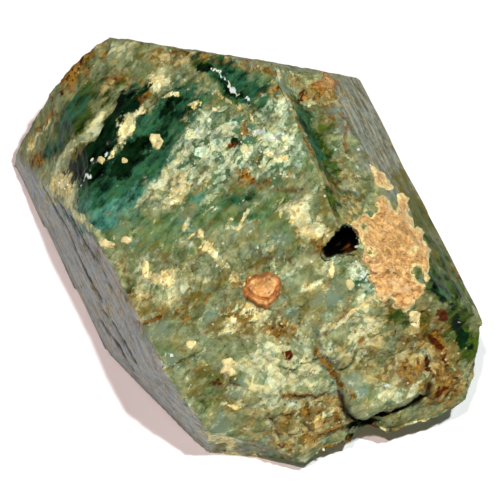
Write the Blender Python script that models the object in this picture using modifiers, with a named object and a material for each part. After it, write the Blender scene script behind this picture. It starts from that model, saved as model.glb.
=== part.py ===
"""Apatite crystal: a stubby six-sided prism lying on its side, with patches of calcite on it.

The long axis of the prism runs along Y. The far end, at +Y, keeps slanted natural
faces, and the near end, at -Y, is broken. The crystal rests on a flat break at Z = 0.
Lengths are written in millimetres and turned into metres by MM.
"""

import math

import bmesh
import bpy
from mathutils import Matrix, Vector, noise
from mathutils.bvhtree import BVHTree

MM = 0.001
COLLECTION = "apatite_crystal_specimen"
CUTTERS = "cutters"

# Every face of the crystal: its angle about the long axis from straight up towards +X,
# its tilt towards the far end, its distance from the origin, and how rough it is.
GROWN, BROKEN, RAGGED, RESTING = "grown", "broken", "ragged", "resting"
HABIT = {
    "left": (-83.7, -1.8, 31.0, GROWN),
    "top": (-21.5, 2.8, 35.9, BROKEN),
    "right_upper": (33.4, -2.0, 43.3, BROKEN),
    "right_bevel": (50.9, -1.1, 41.4, GROWN),
    "right_side": (94.6, -1.7, 30.8, GROWN),
    "far_bevel_high": (-31.5, 19.0, 41.3, GROWN),
    "far_bevel_low": (-58.6, 13.7, 38.5, GROWN),
    "far_left": (-80.8, 79.4, 47.2, GROWN),
    "far_right": (41.9, 44.1, 42.1, GROWN),
    "far_low": (144.7, 80.1, 40.1, GROWN),
    "lower_right": (152.0, -1.0, 8.0, GROWN),
    "near_shoulder": (-21.0, -27.0, 43.2, BROKEN),
    "near_slope": (-22.0, -52.0, 42.6, BROKEN),
    "near": (-22.7, -71.9, 41.6, RAGGED),
    "near_left": (-110.2, -58.9, 39.2, RAGGED),
    "near_right": (90.0, -45.0, 51.0, RAGGED),
    "low_left": (-97.6, -18.3, 30.9, GROWN),
    "under_right": (169.9, -12.6, 10.3, RAGGED),
}
RAW_PRISM_RADIUS = 70.0
RAW_PRISM_LENGTH = 120.0

# Moves the finished specimen so that its box is centred above the origin.
CENTRING = Vector((-0.446, -0.097, 0.0))

# The eye point from which the marks on the broken faces are laid out: h to the right
# and k up, in millimetres on a plane through SIGHT_CENTRE.
SIGHT_AZIMUTH = math.radians(-23.4)
SIGHT_ELEVATION = math.radians(60.0)
SIGHT_DISTANCE = 475.0
SIGHT_CENTRE = Vector((-0.75, -6.2, 20.0))

# The longest edges of each kind of face, and around the lump and the pit.
EDGE_LENGTHS = {GROWN: 3.6, BROKEN: 2.7, RAGGED: 2.7, RESTING: 14.0}
FINE_EDGE_LENGTH = 1.7
BLEND_WIDTH = 2.2
CROSSING_ROUNDS = 12

# How deep each kind of face is worn, how wide its chips are and how much they lean.
ROUGHNESS = {
    GROWN: {"wave": 0.35, "chip": 0.0, "chip_size": 8.0},
    BROKEN: {"wave": 0.9, "chip": 0.55, "chip_size": 6.5},
    RAGGED: {"wave": 1.2, "chip": 0.6, "chip_size": 6.0},
    RESTING: {"wave": 0.0, "chip": 0.0, "chip_size": 8.0},
}
STRIATION_DEPTH = 0.3
STRIATION_WIDTH = 3.4

# The valley beside the ridge: its depth at points across the right upper face.
VALLEY_PROFILE = ((0.0, 0.0), (1.0, -0.2), (5.5, -2.1), (8.0, -1.7), (14.0, 0.0))
VALLEY_END = -12.0
VALLEY_FADE = 9.0
RIDGE_SINE = 0.82

# Dents and swells on the broken faces: h, k, half width, half height, turn, height.
SWELLS = {
    "dark_hollow": (-20.0, 21.5, 9.5, 5.0, 35.0, -1.1),
    "glassy_scoop": (0.0, 33.0, 8.5, 3.6, -15.0, -1.0),
    "tan_rib": (-22.5, 27.5, 8.5, 2.6, 55.0, 0.5),
    "far_knob": (14.6, 31.5, 4.0, 2.4, -10.0, 0.9),
    "shelf_bump": (17.2, 22.5, 3.0, 3.0, 0.0, 0.8),
    "mint_step": (5.5, -28.0, 9.0, 9.5, 20.0, 0.8),
    "left_chip": (-13.0, -35.0, 4.0, 3.0, 0.0, -1.2),
}
# The same for those that shape the outline: they stand out from or sink into their face.
OUTLINE_SWELLS = {
    "bottom_notch": (20.5, -35.8, 6.5, 4.6, 30.0, -3.2),
    "far_corner": (-32.8, 37.0, 6.5, 4.0, 40.0, 0.6),
}
# The lump: h, k, half width, half height and turn, and how far its upper and lower rims stand out.
LUMP = (25.0, -25.8, 9.8, 7.3, 22.0)
LUMP_UPPER_RISE = 1.2
LUMP_LOWER_RISE = 4.4
LUMP_EDGE = 1.7
CREVICE = ((18.5, -32.0), (22.0, -32.6), (25.6, -30.8), (29.6, -30.8), (32.3, -28.6), (34.6, -24.0))
CREVICE_DEPTH = 1.7
CREVICE_HALF_WIDTH = 1.5

# The black pit: where it opens, its size and how far it reaches in.
PIT_CENTRE = (17.6, 1.4)
PIT_WIDTH = 4.4
PIT_LENGTH = 8.4
PIT_DEPTH = 9.0
PIT_TURN = math.radians(-52.0)
PIT_TAPER = 0.45

# Outlines of the calcite pieces, as seen along the sight, and what they are like.
CRUST_OUTLINE = (
    (19.3, 4.6), (21.6, 6.8), (23.4, 6.5), (24.2, 10.1), (25.4, 10.2), (26.7, 8.3),
    (28.3, 8.8), (28.1, 10.8), (29.6, 10.2), (30.5, 6.4), (32.3, 4.1), (34.3, 0.0),
    (34.4, -3.8), (33.7, -5.7), (32.2, -3.4), (31.0, -4.6), (33.2, -7.4), (31.2, -10.4),
    (29.6, -11.7), (27.8, -10.9), (26.3, -9.0), (24.5, -9.5), (23.4, -7.2), (21.9, -3.4),
    (20.8, -1.8), (21.5, 0.7),
)
STRIP_OUTLINE = (
    (22.9, 15.9), (24.5, 15.4), (25.6, 13.3), (27.3, 11.5), (25.3, 11.7), (24.0, 13.6),
)
GRAIN_OUTLINE = (
    (-1.0, -6.5), (1.3, -5.4), (3.4, -4.6), (5.6, -5.6), (5.4, -8.5), (3.5, -10.8),
    (1.6, -10.4), (0.4, -9.1), (-1.1, -8.2),
)
GAP = 0.6
CRUST_THICKNESS = 1.0
STRIP_THICKNESS = 0.8
GRAIN_THICKNESS = 1.3
PATCH_EDGE_LENGTH = 1.25
NORMAL_REACH = 1.6

COLOURS = {
    "apatite": ((0.165, 0.235, 0.150), 0.38),
    "calcite": ((0.620, 0.370, 0.165), 0.75),
    "orange_calcite": ((0.780, 0.340, 0.130), 0.62),
}


def clear_scene():
    for obj in list(bpy.data.objects):
        bpy.data.objects.remove(obj, do_unlink=True)


def new_collection(name, rendered=True):
    collection = bpy.data.collections.new(name)
    collection.hide_render = not rendered
    bpy.context.scene.collection.children.link(collection)
    return collection


def new_material(name, colour, roughness):
    material = bpy.data.materials.new(name)
    material.use_nodes = True
    shader = material.node_tree.nodes["Principled BSDF"]
    shader.inputs["Base Color"].default_value = (*colour, 1.0)
    shader.inputs["Roughness"].default_value = roughness
    shader.inputs["Metallic"].default_value = 0.0
    return material


def face_normal(about_axis, tilt):
    """The outward direction of a face from its two angles in degrees."""
    turn, lean = math.radians(about_axis), math.radians(tilt)
    return Vector((
        math.sin(turn) * math.cos(lean),
        math.sin(lean),
        math.cos(turn) * math.cos(lean),
    ))


FACES = {
    name: (face_normal(about_axis, tilt), distance, kind)
    for name, (about_axis, tilt, distance, kind) in HABIT.items()
}
FACES["base"] = (Vector((0.0, 0.0, -1.0)), 0.0, RESTING)


class Sight:
    """The eye point: it finds where a place on the sight plane meets a surface, and back."""

    def __init__(self):
        turn, lift = SIGHT_AZIMUTH, SIGHT_ELEVATION
        self.right = Vector((math.cos(turn), math.sin(turn), 0.0))
        self.back = Vector((
            math.sin(turn) * math.cos(lift),
            -math.cos(turn) * math.cos(lift),
            math.sin(lift),
        ))
        self.up = self.back.cross(self.right)
        self.eye = SIGHT_CENTRE + SIGHT_DISTANCE * self.back

    def place(self, point):
        """(h, k) of a point in millimetres."""
        offset = point - self.eye
        depth = -offset.dot(self.back) / SIGHT_DISTANCE
        return offset.dot(self.right) / depth, offset.dot(self.up) / depth

    def ray(self, h, k):
        return (self.right * h + self.up * k - self.back * SIGHT_DISTANCE).normalized()


SIGHT = Sight()


def smooth_step(value, low, high):
    share = min(max((value - low) / (high - low), 0.0), 1.0)
    return share * share * (3.0 - 2.0 * share)


def along_profile(value, profile):
    """The height at value on a profile of (place, height) points."""
    for (start, low), (end, high) in zip(profile, profile[1:]):
        if value <= end:
            share = max((value - start) / (end - start), 0.0)
            return low + (high - low) * share
    return profile[-1][1]


def turned(h, k, centre_h, centre_k, turn):
    """h and k about a centre, in axes turned by an angle in degrees."""
    angle = math.radians(turn)
    across, up = h - centre_h, k - centre_k
    return (
        across * math.cos(angle) + up * math.sin(angle),
        up * math.cos(angle) - across * math.sin(angle),
    )


def distance_to_path(h, k, path):
    """How far a place on the sight plane is from a path of points."""
    here = Vector((h, k))
    nearest = math.inf
    for start, end in zip(path, path[1:]):
        first, run = Vector(start), Vector(end) - Vector(start)
        share = min(max((here - first).dot(run) / run.length_squared, 0.0), 1.0)
        nearest = min(nearest, (here - first - run * share).length)
    return nearest


def wave(point, size):
    """Slow unevenness from 0 to -1."""
    return 0.5 * noise.fractal(point / size, 1.0, 2.0, 3) - 0.5


def chips(point, size):
    """Flat leaning facets, one for each cell of a cell pattern, from about -1 to 1."""
    place = point / size
    centre = noise.voronoi(place)[1][0]
    lean = noise.cell_vector(centre * 37.0) - Vector((0.5, 0.5, 0.5))
    return 2.0 * (place - centre).dot(lean) + 0.6 * (noise.cell(centre * 53.0) - 0.5)


def striations(point):
    """Shallow grooves that run along the prism."""
    across = Vector((point.x / STRIATION_WIDTH, point.y / 60.0, point.z / STRIATION_WIDTH))
    return noise.noise(across) - 0.5


def face_relief(point, kind):
    rough = ROUGHNESS[kind]
    height = rough["wave"] * wave(point, 14.0)
    if rough["chip"]:
        height += rough["chip"] * (chips(point, rough["chip_size"]) - 0.4)
    if kind == GROWN:
        height += STRIATION_DEPTH * striations(point)
    return height


def swell(h, k, shape):
    """A rounded rise or dent over an ellipse on the sight plane."""
    centre_h, centre_k, half_width, half_height, turn, height = shape
    across, up = turned(h, k, centre_h, centre_k, turn)
    inside = 1.0 - (across / half_width) ** 2 - (up / half_height) ** 2
    return height * smooth_step(inside, 0.0, 1.0)


def lump(h, k):
    """The rounded lump, which stands out most at its lower rim."""
    centre_h, centre_k, half_width, half_height, turn = LUMP
    across, up = turned(h, k, centre_h, centre_k, turn)
    inside = 1.0 - (across / half_width) ** 2 - (up / half_height) ** 2
    lean = 0.5 - 0.5 * up / half_height
    height = LUMP_UPPER_RISE + (LUMP_LOWER_RISE - LUMP_UPPER_RISE) * lean
    return height * smooth_step(LUMP_EDGE * inside, 0.0, 1.0)


def valley(point):
    """The steep side and the shelf to the right of the ridge."""
    normal, distance, _ = FACES["top"]
    below_top = max(distance - normal.dot(point), 0.0)
    fade = smooth_step(point.y, VALLEY_END - VALLEY_FADE, VALLEY_END + VALLEY_FADE)
    return fade * along_profile(below_top / RIDGE_SINE, VALLEY_PROFILE)


def seen_relief(point, normal):
    """How far a point moves towards the eye point: dents, swells, the lump and its crevice."""
    facing = smooth_step(normal.dot(SIGHT.back), 0.1, 0.35)
    if facing == 0.0:
        return 0.0
    h, k = SIGHT.place(point)
    height = sum(swell(h, k, shape) for shape in SWELLS.values())
    height += lump(h, k)
    gap = distance_to_path(h, k, CREVICE)
    height -= CREVICE_DEPTH * (1.0 - smooth_step(gap, 0.3, CREVICE_HALF_WIDTH))
    return facing * height


def under_crust(h, k):
    """1 well inside the crust's place, where the crystal under it is flatter, and 0 away from it."""
    centre_h = sum(h for h, _ in CRUST_OUTLINE) / len(CRUST_OUTLINE)
    centre_k = sum(k for _, k in CRUST_OUTLINE) / len(CRUST_OUTLINE)
    return 1.0 - smooth_step(math.hypot(h - centre_h, k - centre_k), 8.0, 12.0)


def relief(point):
    """How far a point of the plain crystal moves along its normal, in millimetres."""
    total, weights = 0.0, 0.0
    for name, (direction, distance, kind) in FACES.items():
        below = distance - direction.dot(point)
        weight = max(1.0 - below / BLEND_WIDTH, 0.0)
        if weight == 0.0:
            continue
        height = face_relief(point, kind)
        if name in ("right_upper", "right_bevel"):
            height += valley(point)
        total += weight * height
        weights += weight
    h, k = SIGHT.place(point)
    flat = 1.0 - 0.75 * under_crust(h, k)
    outline = sum(swell(h, k, shape) for shape in OUTLINE_SWELLS.values())
    return flat * total / max(weights, 1.0) + outline


def local_edge_length(point):
    """The longest edge allowed at a point: its face's own, or finer around the lump and the pit."""
    _, kind = min((distance - direction.dot(point), kind) for direction, distance, kind in FACES.values())
    h, k = SIGHT.place(point)
    near_lump = distance_to_path(h, k, CREVICE) < 3.0
    near_pit = math.hypot(h - PIT_CENTRE[0], k - PIT_CENTRE[1]) < 6.0
    fine = kind in (BROKEN, RAGGED) and (near_lump or near_pit)
    return FINE_EDGE_LENGTH if fine else EDGE_LENGTHS[kind]


def even_mesh(mesh, longest_at):
    """Splits long edges until each is within longest_at of its middle."""
    for _ in range(9):
        bmesh.ops.triangulate(mesh, faces=mesh.faces[:], quad_method="BEAUTY", ngon_method="BEAUTY")
        long_edges = [
            edge for edge in mesh.edges
            if edge.calc_length() > 1.35 * longest_at((edge.verts[0].co + edge.verts[1].co) / 2.0)
        ]
        if not long_edges:
            break
        bmesh.ops.subdivide_edges(mesh, edges=long_edges, cuts=1)


def relax_flat_vertices(mesh, rounds):
    """Evens out the vertices inside flat faces, which stay in their planes."""
    flat = [
        vertex for vertex in mesh.verts
        if all(face.normal.dot(vertex.link_faces[0].normal) > 0.9999 for face in vertex.link_faces)
    ]
    for _ in range(rounds):
        bmesh.ops.smooth_vert(mesh, verts=flat, factor=0.5, use_axis_x=True, use_axis_y=True, use_axis_z=True)
        bmesh.ops.beautify_fill(mesh, faces=mesh.faces[:], edges=[
            edge for edge in mesh.edges
            if len(edge.link_faces) == 2 and edge.calc_face_angle() < 0.01
        ])


def plain_crystal():
    """The crystal as flat faces only: a six-sided prism cut back to each face of HABIT."""
    mesh = bmesh.new()
    bmesh.ops.create_cone(
        mesh, cap_ends=True, segments=6, radius1=RAW_PRISM_RADIUS, radius2=RAW_PRISM_RADIUS,
        depth=RAW_PRISM_LENGTH, matrix=Matrix.Rotation(math.pi / 2.0, 4, "X"),
    )
    for direction, distance, _ in FACES.values():
        cut = bmesh.ops.bisect_plane(
            mesh, geom=mesh.verts[:] + mesh.edges[:] + mesh.faces[:],
            plane_co=direction * distance, plane_no=direction, clear_outer=True, dist=1e-5,
        )
        rim = [part for part in cut["geom_cut"] if isinstance(part, bmesh.types.BMEdge)]
        if rim:
            bmesh.ops.contextual_create(mesh, geom=rim)
    bmesh.ops.recalc_face_normals(mesh, faces=mesh.faces[:])
    return mesh


def smooth_crossings(mesh):
    """Evens out the few places where the relief folds the surface through itself."""
    for _ in range(CROSSING_ROUNDS):
        tree = BVHTree.FromBMesh(mesh)
        mesh.faces.ensure_lookup_table()
        folded = set()
        for first, second in tree.overlap(tree):
            ours, theirs = set(mesh.faces[first].verts), set(mesh.faces[second].verts)
            if not ours & theirs:
                folded |= ours | theirs
        if not folded:
            break
        around = {edge.other_vert(vertex) for vertex in folded for edge in vertex.link_edges}
        loose = [vertex for vertex in folded | around if vertex.co.z > 0.0]
        bmesh.ops.smooth_vert(mesh, verts=loose, factor=0.5, use_axis_x=True, use_axis_y=True, use_axis_z=True)


def rough_crystal():
    """The crystal with its relief, in millimetres."""
    mesh = plain_crystal()
    even_mesh(mesh, local_edge_length)
    relax_flat_vertices(mesh, 4)
    mesh.normal_update()
    moves = []
    for vertex in mesh.verts:
        on_base = vertex.co.z < 1e-3
        direction = vertex.normal.copy()
        if on_base:
            direction.z = 0.0
        move = direction * relief(vertex.co)
        if not on_base:
            move += SIGHT.back * seen_relief(vertex.co, vertex.normal)
        moves.append((vertex, move, on_base))
    for vertex, move, on_base in moves:
        inside_base = on_base and all(face.normal.z < -0.99 for face in vertex.link_faces)
        if not inside_base:
            vertex.co += move
        vertex.co.z = 0.0 if on_base else max(vertex.co.z, 0.25)
    bmesh.ops.triangulate(mesh, faces=mesh.faces[:])
    smooth_crossings(mesh)
    return mesh


def object_from(mesh, name, collection, material):
    """A named object from a mesh in millimetres."""
    placing = Matrix.Scale(MM, 4) @ Matrix.Translation(CENTRING)
    bmesh.ops.transform(mesh, matrix=placing, verts=mesh.verts[:])
    data = bpy.data.meshes.new(name)
    mesh.to_mesh(data)
    mesh.free()
    if material:
        data.materials.append(material)
    obj = bpy.data.objects.new(name, data)
    collection.objects.link(obj)
    return obj


def surface_point(tree, h, k):
    """Where the sight ray at (h, k) meets the crystal, and the mean normal around there."""
    point, normal, _, _ = tree.ray_cast(SIGHT.eye, SIGHT.ray(h, k))
    total = normal.copy()
    for step in range(8):
        angle = step * math.pi / 4.0
        ray = SIGHT.ray(h + NORMAL_REACH * math.cos(angle), k + NORMAL_REACH * math.sin(angle))
        _, near_normal, _, _ = tree.ray_cast(SIGHT.eye, ray)
        total += near_normal or normal
    return point, total.normalized()


def pit_cutter(tree, collection):
    """A tapered round form, longest across the sight, that hollows the pit."""
    opening, _ = surface_point(tree, *PIT_CENTRE)
    mesh = bmesh.new()
    bmesh.ops.create_uvsphere(mesh, u_segments=18, v_segments=10, radius=1.0)
    for vertex in mesh.verts:
        narrow = 1.0 - PIT_TAPER * smooth_step(-vertex.co.y, 0.0, 1.0)
        ripple = 1.0 + 0.16 * noise.noise(vertex.co * 1.7 + Vector((4.0, 1.0, 7.0)))
        vertex.co.x *= 0.5 * PIT_WIDTH * narrow * ripple
        vertex.co.y *= 0.5 * PIT_LENGTH * ripple
        vertex.co.z *= PIT_DEPTH
    facing = Matrix((SIGHT.right, SIGHT.up, SIGHT.back)).transposed().to_4x4()
    spin = Matrix.Rotation(PIT_TURN, 4, "Z")
    bmesh.ops.transform(mesh, matrix=Matrix.Translation(opening) @ facing @ spin, verts=mesh.verts[:])
    cutter = object_from(mesh, "pit_cutter", collection, None)
    cutter.hide_render = True
    cutter.display_type = "WIRE"
    return cutter


def outline_sheet(outline, edge_length):
    """A flat filled outline on the sight plane, cut into even triangles."""
    mesh = bmesh.new()
    rim = [mesh.verts.new((h, k, 0.0)) for h, k in outline]
    mesh.faces.new(rim)
    even_mesh(mesh, lambda _: edge_length)
    for _ in range(4):
        inner = [vertex for vertex in mesh.verts if not vertex.is_boundary]
        bmesh.ops.smooth_vert(mesh, verts=inner, factor=0.5, use_axis_x=True, use_axis_y=True, use_axis_z=True)
        bmesh.ops.beautify_fill(mesh, faces=mesh.faces[:], edges=[
            edge for edge in mesh.edges if not edge.is_boundary
        ])
    return mesh


def patch(tree, name, outline, thickness, dome, collection, material):
    """A calcite piece that lies on the crystal with a thin gap: an outline laid onto the surface."""
    mesh = outline_sheet(outline, PATCH_EDGE_LENGTH)
    for vertex in mesh.verts:
        h, k = vertex.co.x, vertex.co.y
        point, normal = surface_point(tree, h, k)
        reach = max(surface_rise(tree, point, normal), 0.0)
        vertex.co = point + normal * (GAP + reach)
    for face in mesh.faces:
        if face.normal.dot(SIGHT.back) < 0.0:
            face.normal_flip()
    obj = object_from(mesh, name, collection, material)
    shell = obj.modifiers.new("Thickness", "SOLIDIFY")
    shell.thickness = thickness * MM
    shell.offset = 1.0
    add_dome(obj, dome, thickness)
    return obj


def surface_rise(tree, point, normal):
    """How far the crystal stands above a point within a short way of it."""
    highest = 0.0
    side = normal.orthogonal().normalized()
    for step in range(6):
        around = Matrix.Rotation(step * math.pi / 3.0, 3, normal) @ side
        near, _, _, _ = tree.find_nearest(point + around * 0.8)
        highest = max(highest, (near - point).dot(normal))
    return highest


def add_dome(obj, dome, thickness):
    """Vertex weights that make a patch thicker in its middle than at its rim."""
    group = obj.vertex_groups.new(name="thickness")
    mesh = bmesh.new()
    mesh.from_mesh(obj.data)
    rim = [vertex.co.copy() for vertex in mesh.verts if vertex.is_boundary]
    for vertex in mesh.verts:
        inward = min((vertex.co - edge).length for edge in rim) / MM
        uneven = 0.12 * noise.noise(vertex.co / MM / 2.2)
        share = 1.0 - dome + dome * smooth_step(inward, 0.0, 2.0) + uneven
        group.add([vertex.index], min(max(share, 0.25), 1.0), "REPLACE")
    mesh.free()
    shell = obj.modifiers["Thickness"]
    shell.vertex_group = group.name
    shell.thickness_vertex_group = 0.0
    shell.thickness = thickness * MM


def build():
    clear_scene()
    parts = new_collection(COLLECTION)
    cutters = new_collection(CUTTERS, rendered=False)
    materials = {name: new_material(name, *look) for name, look in COLOURS.items()}

    rough = rough_crystal()
    tree = BVHTree.FromBMesh(rough)
    cutter = pit_cutter(tree, cutters)
    crystal = object_from(rough, "apatite_crystal", parts, materials["apatite"])
    hollow = crystal.modifiers.new("Pit", "BOOLEAN")
    hollow.operation = "DIFFERENCE"
    hollow.object = cutter
    hollow.solver = "EXACT"

    patch(tree, "calcite_crust", CRUST_OUTLINE, CRUST_THICKNESS, 0.45, parts, materials["calcite"])
    patch(tree, "calcite_strip", STRIP_OUTLINE, STRIP_THICKNESS, 0.45, parts, materials["calcite"])
    patch(tree, "calcite_grain", GRAIN_OUTLINE, GRAIN_THICKNESS, 0.6, parts, materials["orange_calcite"])


build()
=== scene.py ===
"""The looks of the apatite crystal: mottled green stone, its calcite crust, flecks and light.

Shapes are worked out in millimetres around the sight line, and made in metres. A place
on the sight plane is given in frame units: 500 across and 500 down, as the camera sees it.
"""

import math

import bmesh
import bpy
import numpy as np
from mathutils import Matrix, Vector, noise
from mathutils.bvhtree import BVHTree

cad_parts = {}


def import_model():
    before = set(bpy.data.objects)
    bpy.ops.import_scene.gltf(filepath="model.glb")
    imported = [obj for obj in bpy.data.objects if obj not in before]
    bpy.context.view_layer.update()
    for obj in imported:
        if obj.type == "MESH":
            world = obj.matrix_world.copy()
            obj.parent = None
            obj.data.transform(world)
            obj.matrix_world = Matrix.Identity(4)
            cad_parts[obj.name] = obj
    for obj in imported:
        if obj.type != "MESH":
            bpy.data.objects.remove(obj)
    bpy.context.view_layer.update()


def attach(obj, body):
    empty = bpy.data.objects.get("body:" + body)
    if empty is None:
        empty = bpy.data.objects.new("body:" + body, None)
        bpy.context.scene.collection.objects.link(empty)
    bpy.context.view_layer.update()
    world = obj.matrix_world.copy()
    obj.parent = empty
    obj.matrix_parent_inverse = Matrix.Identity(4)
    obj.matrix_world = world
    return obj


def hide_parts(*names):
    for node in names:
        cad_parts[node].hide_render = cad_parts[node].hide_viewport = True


MM = 0.001

# The camera: where it looks from, and how many millimetres one frame unit is.
SIGHT_AZIMUTH = math.radians(-23.4)
SIGHT_ELEVATION = math.radians(60.0)
SIGHT_DISTANCE = 475.0
SIGHT_CENTRE = np.array([-0.75, -6.2, 20.0])
CENTRING = np.array([-0.446, -0.097, 0.0])
LENS = 180.0
SENSOR = 36.0
UNIT = 0.19
FRAME_MIDDLE = 250.0

# Every face of the crystal: its angle about the long axis from straight up towards +X,
# its tilt towards the far end, its distance from the origin, and how rough it is.
GROWN, BROKEN, RAGGED, RESTING = "grown", "broken", "ragged", "resting"
HABIT = {
    "left": (-83.7, -1.8, 31.0, GROWN),
    "top": (-21.5, 2.8, 35.9, BROKEN),
    "right_upper": (33.4, -2.0, 43.3, BROKEN),
    "right_bevel": (50.9, -1.1, 41.4, GROWN),
    "right_side": (94.6, -1.7, 30.8, GROWN),
    "far_bevel_high": (-31.5, 19.0, 41.3, GROWN),
    "far_bevel_low": (-58.6, 13.7, 38.5, GROWN),
    "far_left": (-80.8, 79.4, 47.2, GROWN),
    "far_right": (41.9, 44.1, 42.1, GROWN),
    "far_low": (144.7, 80.1, 40.1, GROWN),
    "lower_right": (152.0, -1.0, 8.0, GROWN),
    "near_shoulder": (-21.0, -27.0, 43.2, BROKEN),
    "near_slope": (-22.0, -52.0, 42.6, BROKEN),
    "near": (-22.7, -71.9, 41.6, RAGGED),
    "near_left": (-110.2, -58.9, 39.2, RAGGED),
    "near_right": (90.0, -45.0, 51.0, RAGGED),
    "low_left": (-97.6, -18.3, 30.9, GROWN),
    "under_right": (169.9, -12.6, 10.3, RAGGED),
}
RAW_PRISM_RADIUS = 70.0
RAW_PRISM_LENGTH = 120.0
VOXEL = 0.485
BLEND_WIDTH = 2.2

# How deep each kind of face is worn, and how deep its chips of three sizes are.
CHIP_SIZES = (6.5, 2.7, 1.25)
WEAR = {
    GROWN: (0.35, (0.0, 0.0, 0.03)),
    BROKEN: (0.9, (0.55, 0.34, 0.17)),
    RAGGED: (1.2, (0.6, 0.42, 0.2)),
    RESTING: (0.0, (0.0, 0.0, 0.0)),
}
STRIATION_DEPTH = 0.16
STRIATION_WIDTH = 1.3
STRIATION_LENGTH = 45.0
# How much less each size of chip shows on calm stone, and the chip height that stays level.
CHIP_EASING = (0.3, 0.8, 0.9)
CHIP_LEVEL = 0.4
WAVE_SIZE = 14.0

# The valley beside the ridge: its depth at points across the right upper face.
VALLEY_PROFILE = ((0.0, 1.0, 5.5, 8.0, 14.0), (0.0, -0.2, -2.1, -1.7, 0.0))
VALLEY_END = -12.0
VALLEY_FADE = 9.0
RIDGE_SINE = 0.82

# How far a point faces the eye, as a cosine, where the relief, the marks and the lines fade in.
RELIEF_FACING = (0.1, 0.35)
MARKS_FACING = (0.0, 0.16)
LINES_FACING = (0.0, 0.1)

# Dents and swells in millimetres on the sight plane: h, k, half width, half height, turn, height.
SWELLS = {
    "dark_hollow": (-20.0, 21.5, 9.5, 5.0, 35.0, -1.1),
    "glassy_scoop": (0.0, 33.0, 8.5, 3.6, -15.0, -1.0),
    "tan_rib": (-22.5, 27.5, 8.5, 2.6, 55.0, 0.5),
    "far_knob": (14.6, 31.5, 4.0, 2.4, -10.0, 0.9),
    "shelf_bump": (17.2, 22.5, 3.0, 3.0, 0.0, 0.8),
    "mint_step": (5.5, -28.0, 9.0, 9.5, 20.0, 0.8),
    "left_chip": (-13.0, -35.0, 4.0, 3.0, 0.0, -1.2),
}
OUTLINE_SWELLS = {
    "bottom_notch": (21.5, -35.4, 5.0, 3.0, 25.0, -1.6),
    "far_corner": (-32.8, 37.0, 6.5, 4.0, 40.0, 0.6),
}
# The rounded lump with its scalloped rim, in frame units, and the crevice under it.
LUMP_OUTLINE = (
    (337, 384), (336, 396), (339, 406), (345, 415), (354, 421), (365, 422), (377, 420), (386, 413),
    (396, 411), (407, 410), (417, 403), (424, 396), (427, 388), (424, 376), (415, 362), (402, 350),
    (386, 344), (366, 350), (348, 364),
)
LUMP_LOW, LUMP_HIGH = 415.0, 352.0
LUMP_RISE = 3.6
CREVICE = (
    (341, 396), (346, 413), (353, 420), (365, 423), (379, 420), (387, 414), (397, 412), (408, 411),
    (419, 404), (426, 397), (429, 386),
)
CREVICE_DEPTH = 1.7
CREVICE_HALF_WIDTH = 0.7
# Ledges: a path in frame units, raised on its left hand side, then the height and how far it fades.
LEDGES = {
    "seam": (((318, 338), (324, 352), (336, 366), (339, 380)), 0.9, 3.0),
    "seam_high": (((372, 296), (345, 312), (318, 338)), 0.8, 3.5),
    "pale_plane": (((246, 352), (254, 366), (268, 384), (262, 400), (268, 412)), 0.9, 5.0),
    "pool_edge": (((72, 186), (88, 170), (98, 152), (122, 124), (140, 106)), 0.5, 3.0),
    "facet_edge": (((38, 160), (70, 138), (98, 118), (120, 84), (134, 60)), 0.6, 4.0),
    "scoop_edge": (((206, 66), (220, 82), (240, 104), (258, 108)), 0.7, 3.0),
    "field_edge": (((186, 196), (212, 204), (240, 188), (262, 196)), 0.6, 4.0),
    "granules": (((140, 262), (170, 262), (206, 272), (222, 296)), 0.5, 4.0),
    "left_step": (((150, 330), (176, 322), (206, 326), (230, 314)), 0.6, 3.5),
    "low_step": (((176, 404), (200, 398), (236, 402), (262, 414)), 0.7, 3.5),
    "terrace": (((352, 158), (338, 176), (332, 200), (336, 214)), 0.6, 3.0),
    "low_seam": (((286, 396), (306, 400), (330, 398)), 0.5, 3.0),
    "ledge": (((398, 426), (420, 412), (442, 402), (456, 384)), 0.7, 3.0),
    "stone_step": (((404, 318), (418, 340), (432, 366)), 0.6, 3.0),
}

# The rim that overhangs the floor: its path, how far it comes towards the eye, and how far in.
OVERHANG = (
    (318, 462), (335, 450), (345, 441), (357, 433), (373, 427), (384, 433), (397, 431), (417, 422),
    (433, 412), (452, 401), (466, 392), (472, 376), (482, 348),
)
OVERHANG_LIFT = 5.2
OVERHANG_REACH = (0.5, 16.0)
# The overhang is full up to 12 mm above the floor and gone at 24, counted downwards.
OVERHANG_HEIGHTS = (-24.0, -12.0)
# Points lifted less than this stay on the floor, and the others stay this far above it.
LIFTED_LEAST = 0.1
FLOOR_GAP = 0.05
# Where the rim is drawn up in the frame: as SWELLS.
RIM_NOTCHES = {
    "low_rim": (17.5, -38.8, 9.0, 5.0, 30.0, 2.0),
    "lump_end": (23.0, -35.5, 5.0, 3.4, 25.0, 1.2),
}
# The painted shade in the hollow under the lump's rim, as a mark.
HOLLOW_SHADE = {"under_lump": (364, 431, 15, 5.5, 22, 1.25)}

# The pit: its place and size on the sight plane in millimetres, and how it narrows at one end.
PIT_CENTRE = (17.2, 1.4)
PIT_WIDTH = 3.9
PIT_LENGTH = 7.8
PIT_DEPTH = 9.0
PIT_TURN = math.radians(-52.0)
PIT_TAPER = 0.68
PIT_RIPPLE = 0.2
PIT_NOISE_PLACE = Vector((4.0, 1.0, 7.0))
PIT_SIDES = 36
PIT_RINGS = 20


def sight_frame():
    """The sight's right, up and back directions, as rows."""
    turn, lift = SIGHT_AZIMUTH, SIGHT_ELEVATION
    right = np.array([math.cos(turn), math.sin(turn), 0.0])
    back = np.array([math.sin(turn) * math.cos(lift), -math.cos(turn) * math.cos(lift), math.sin(lift)])
    return np.array([right, np.cross(back, right), back])


SIGHT = sight_frame()
RIGHT, UP, BACK = SIGHT
EYE = SIGHT_CENTRE + SIGHT_DISTANCE * BACK


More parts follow.
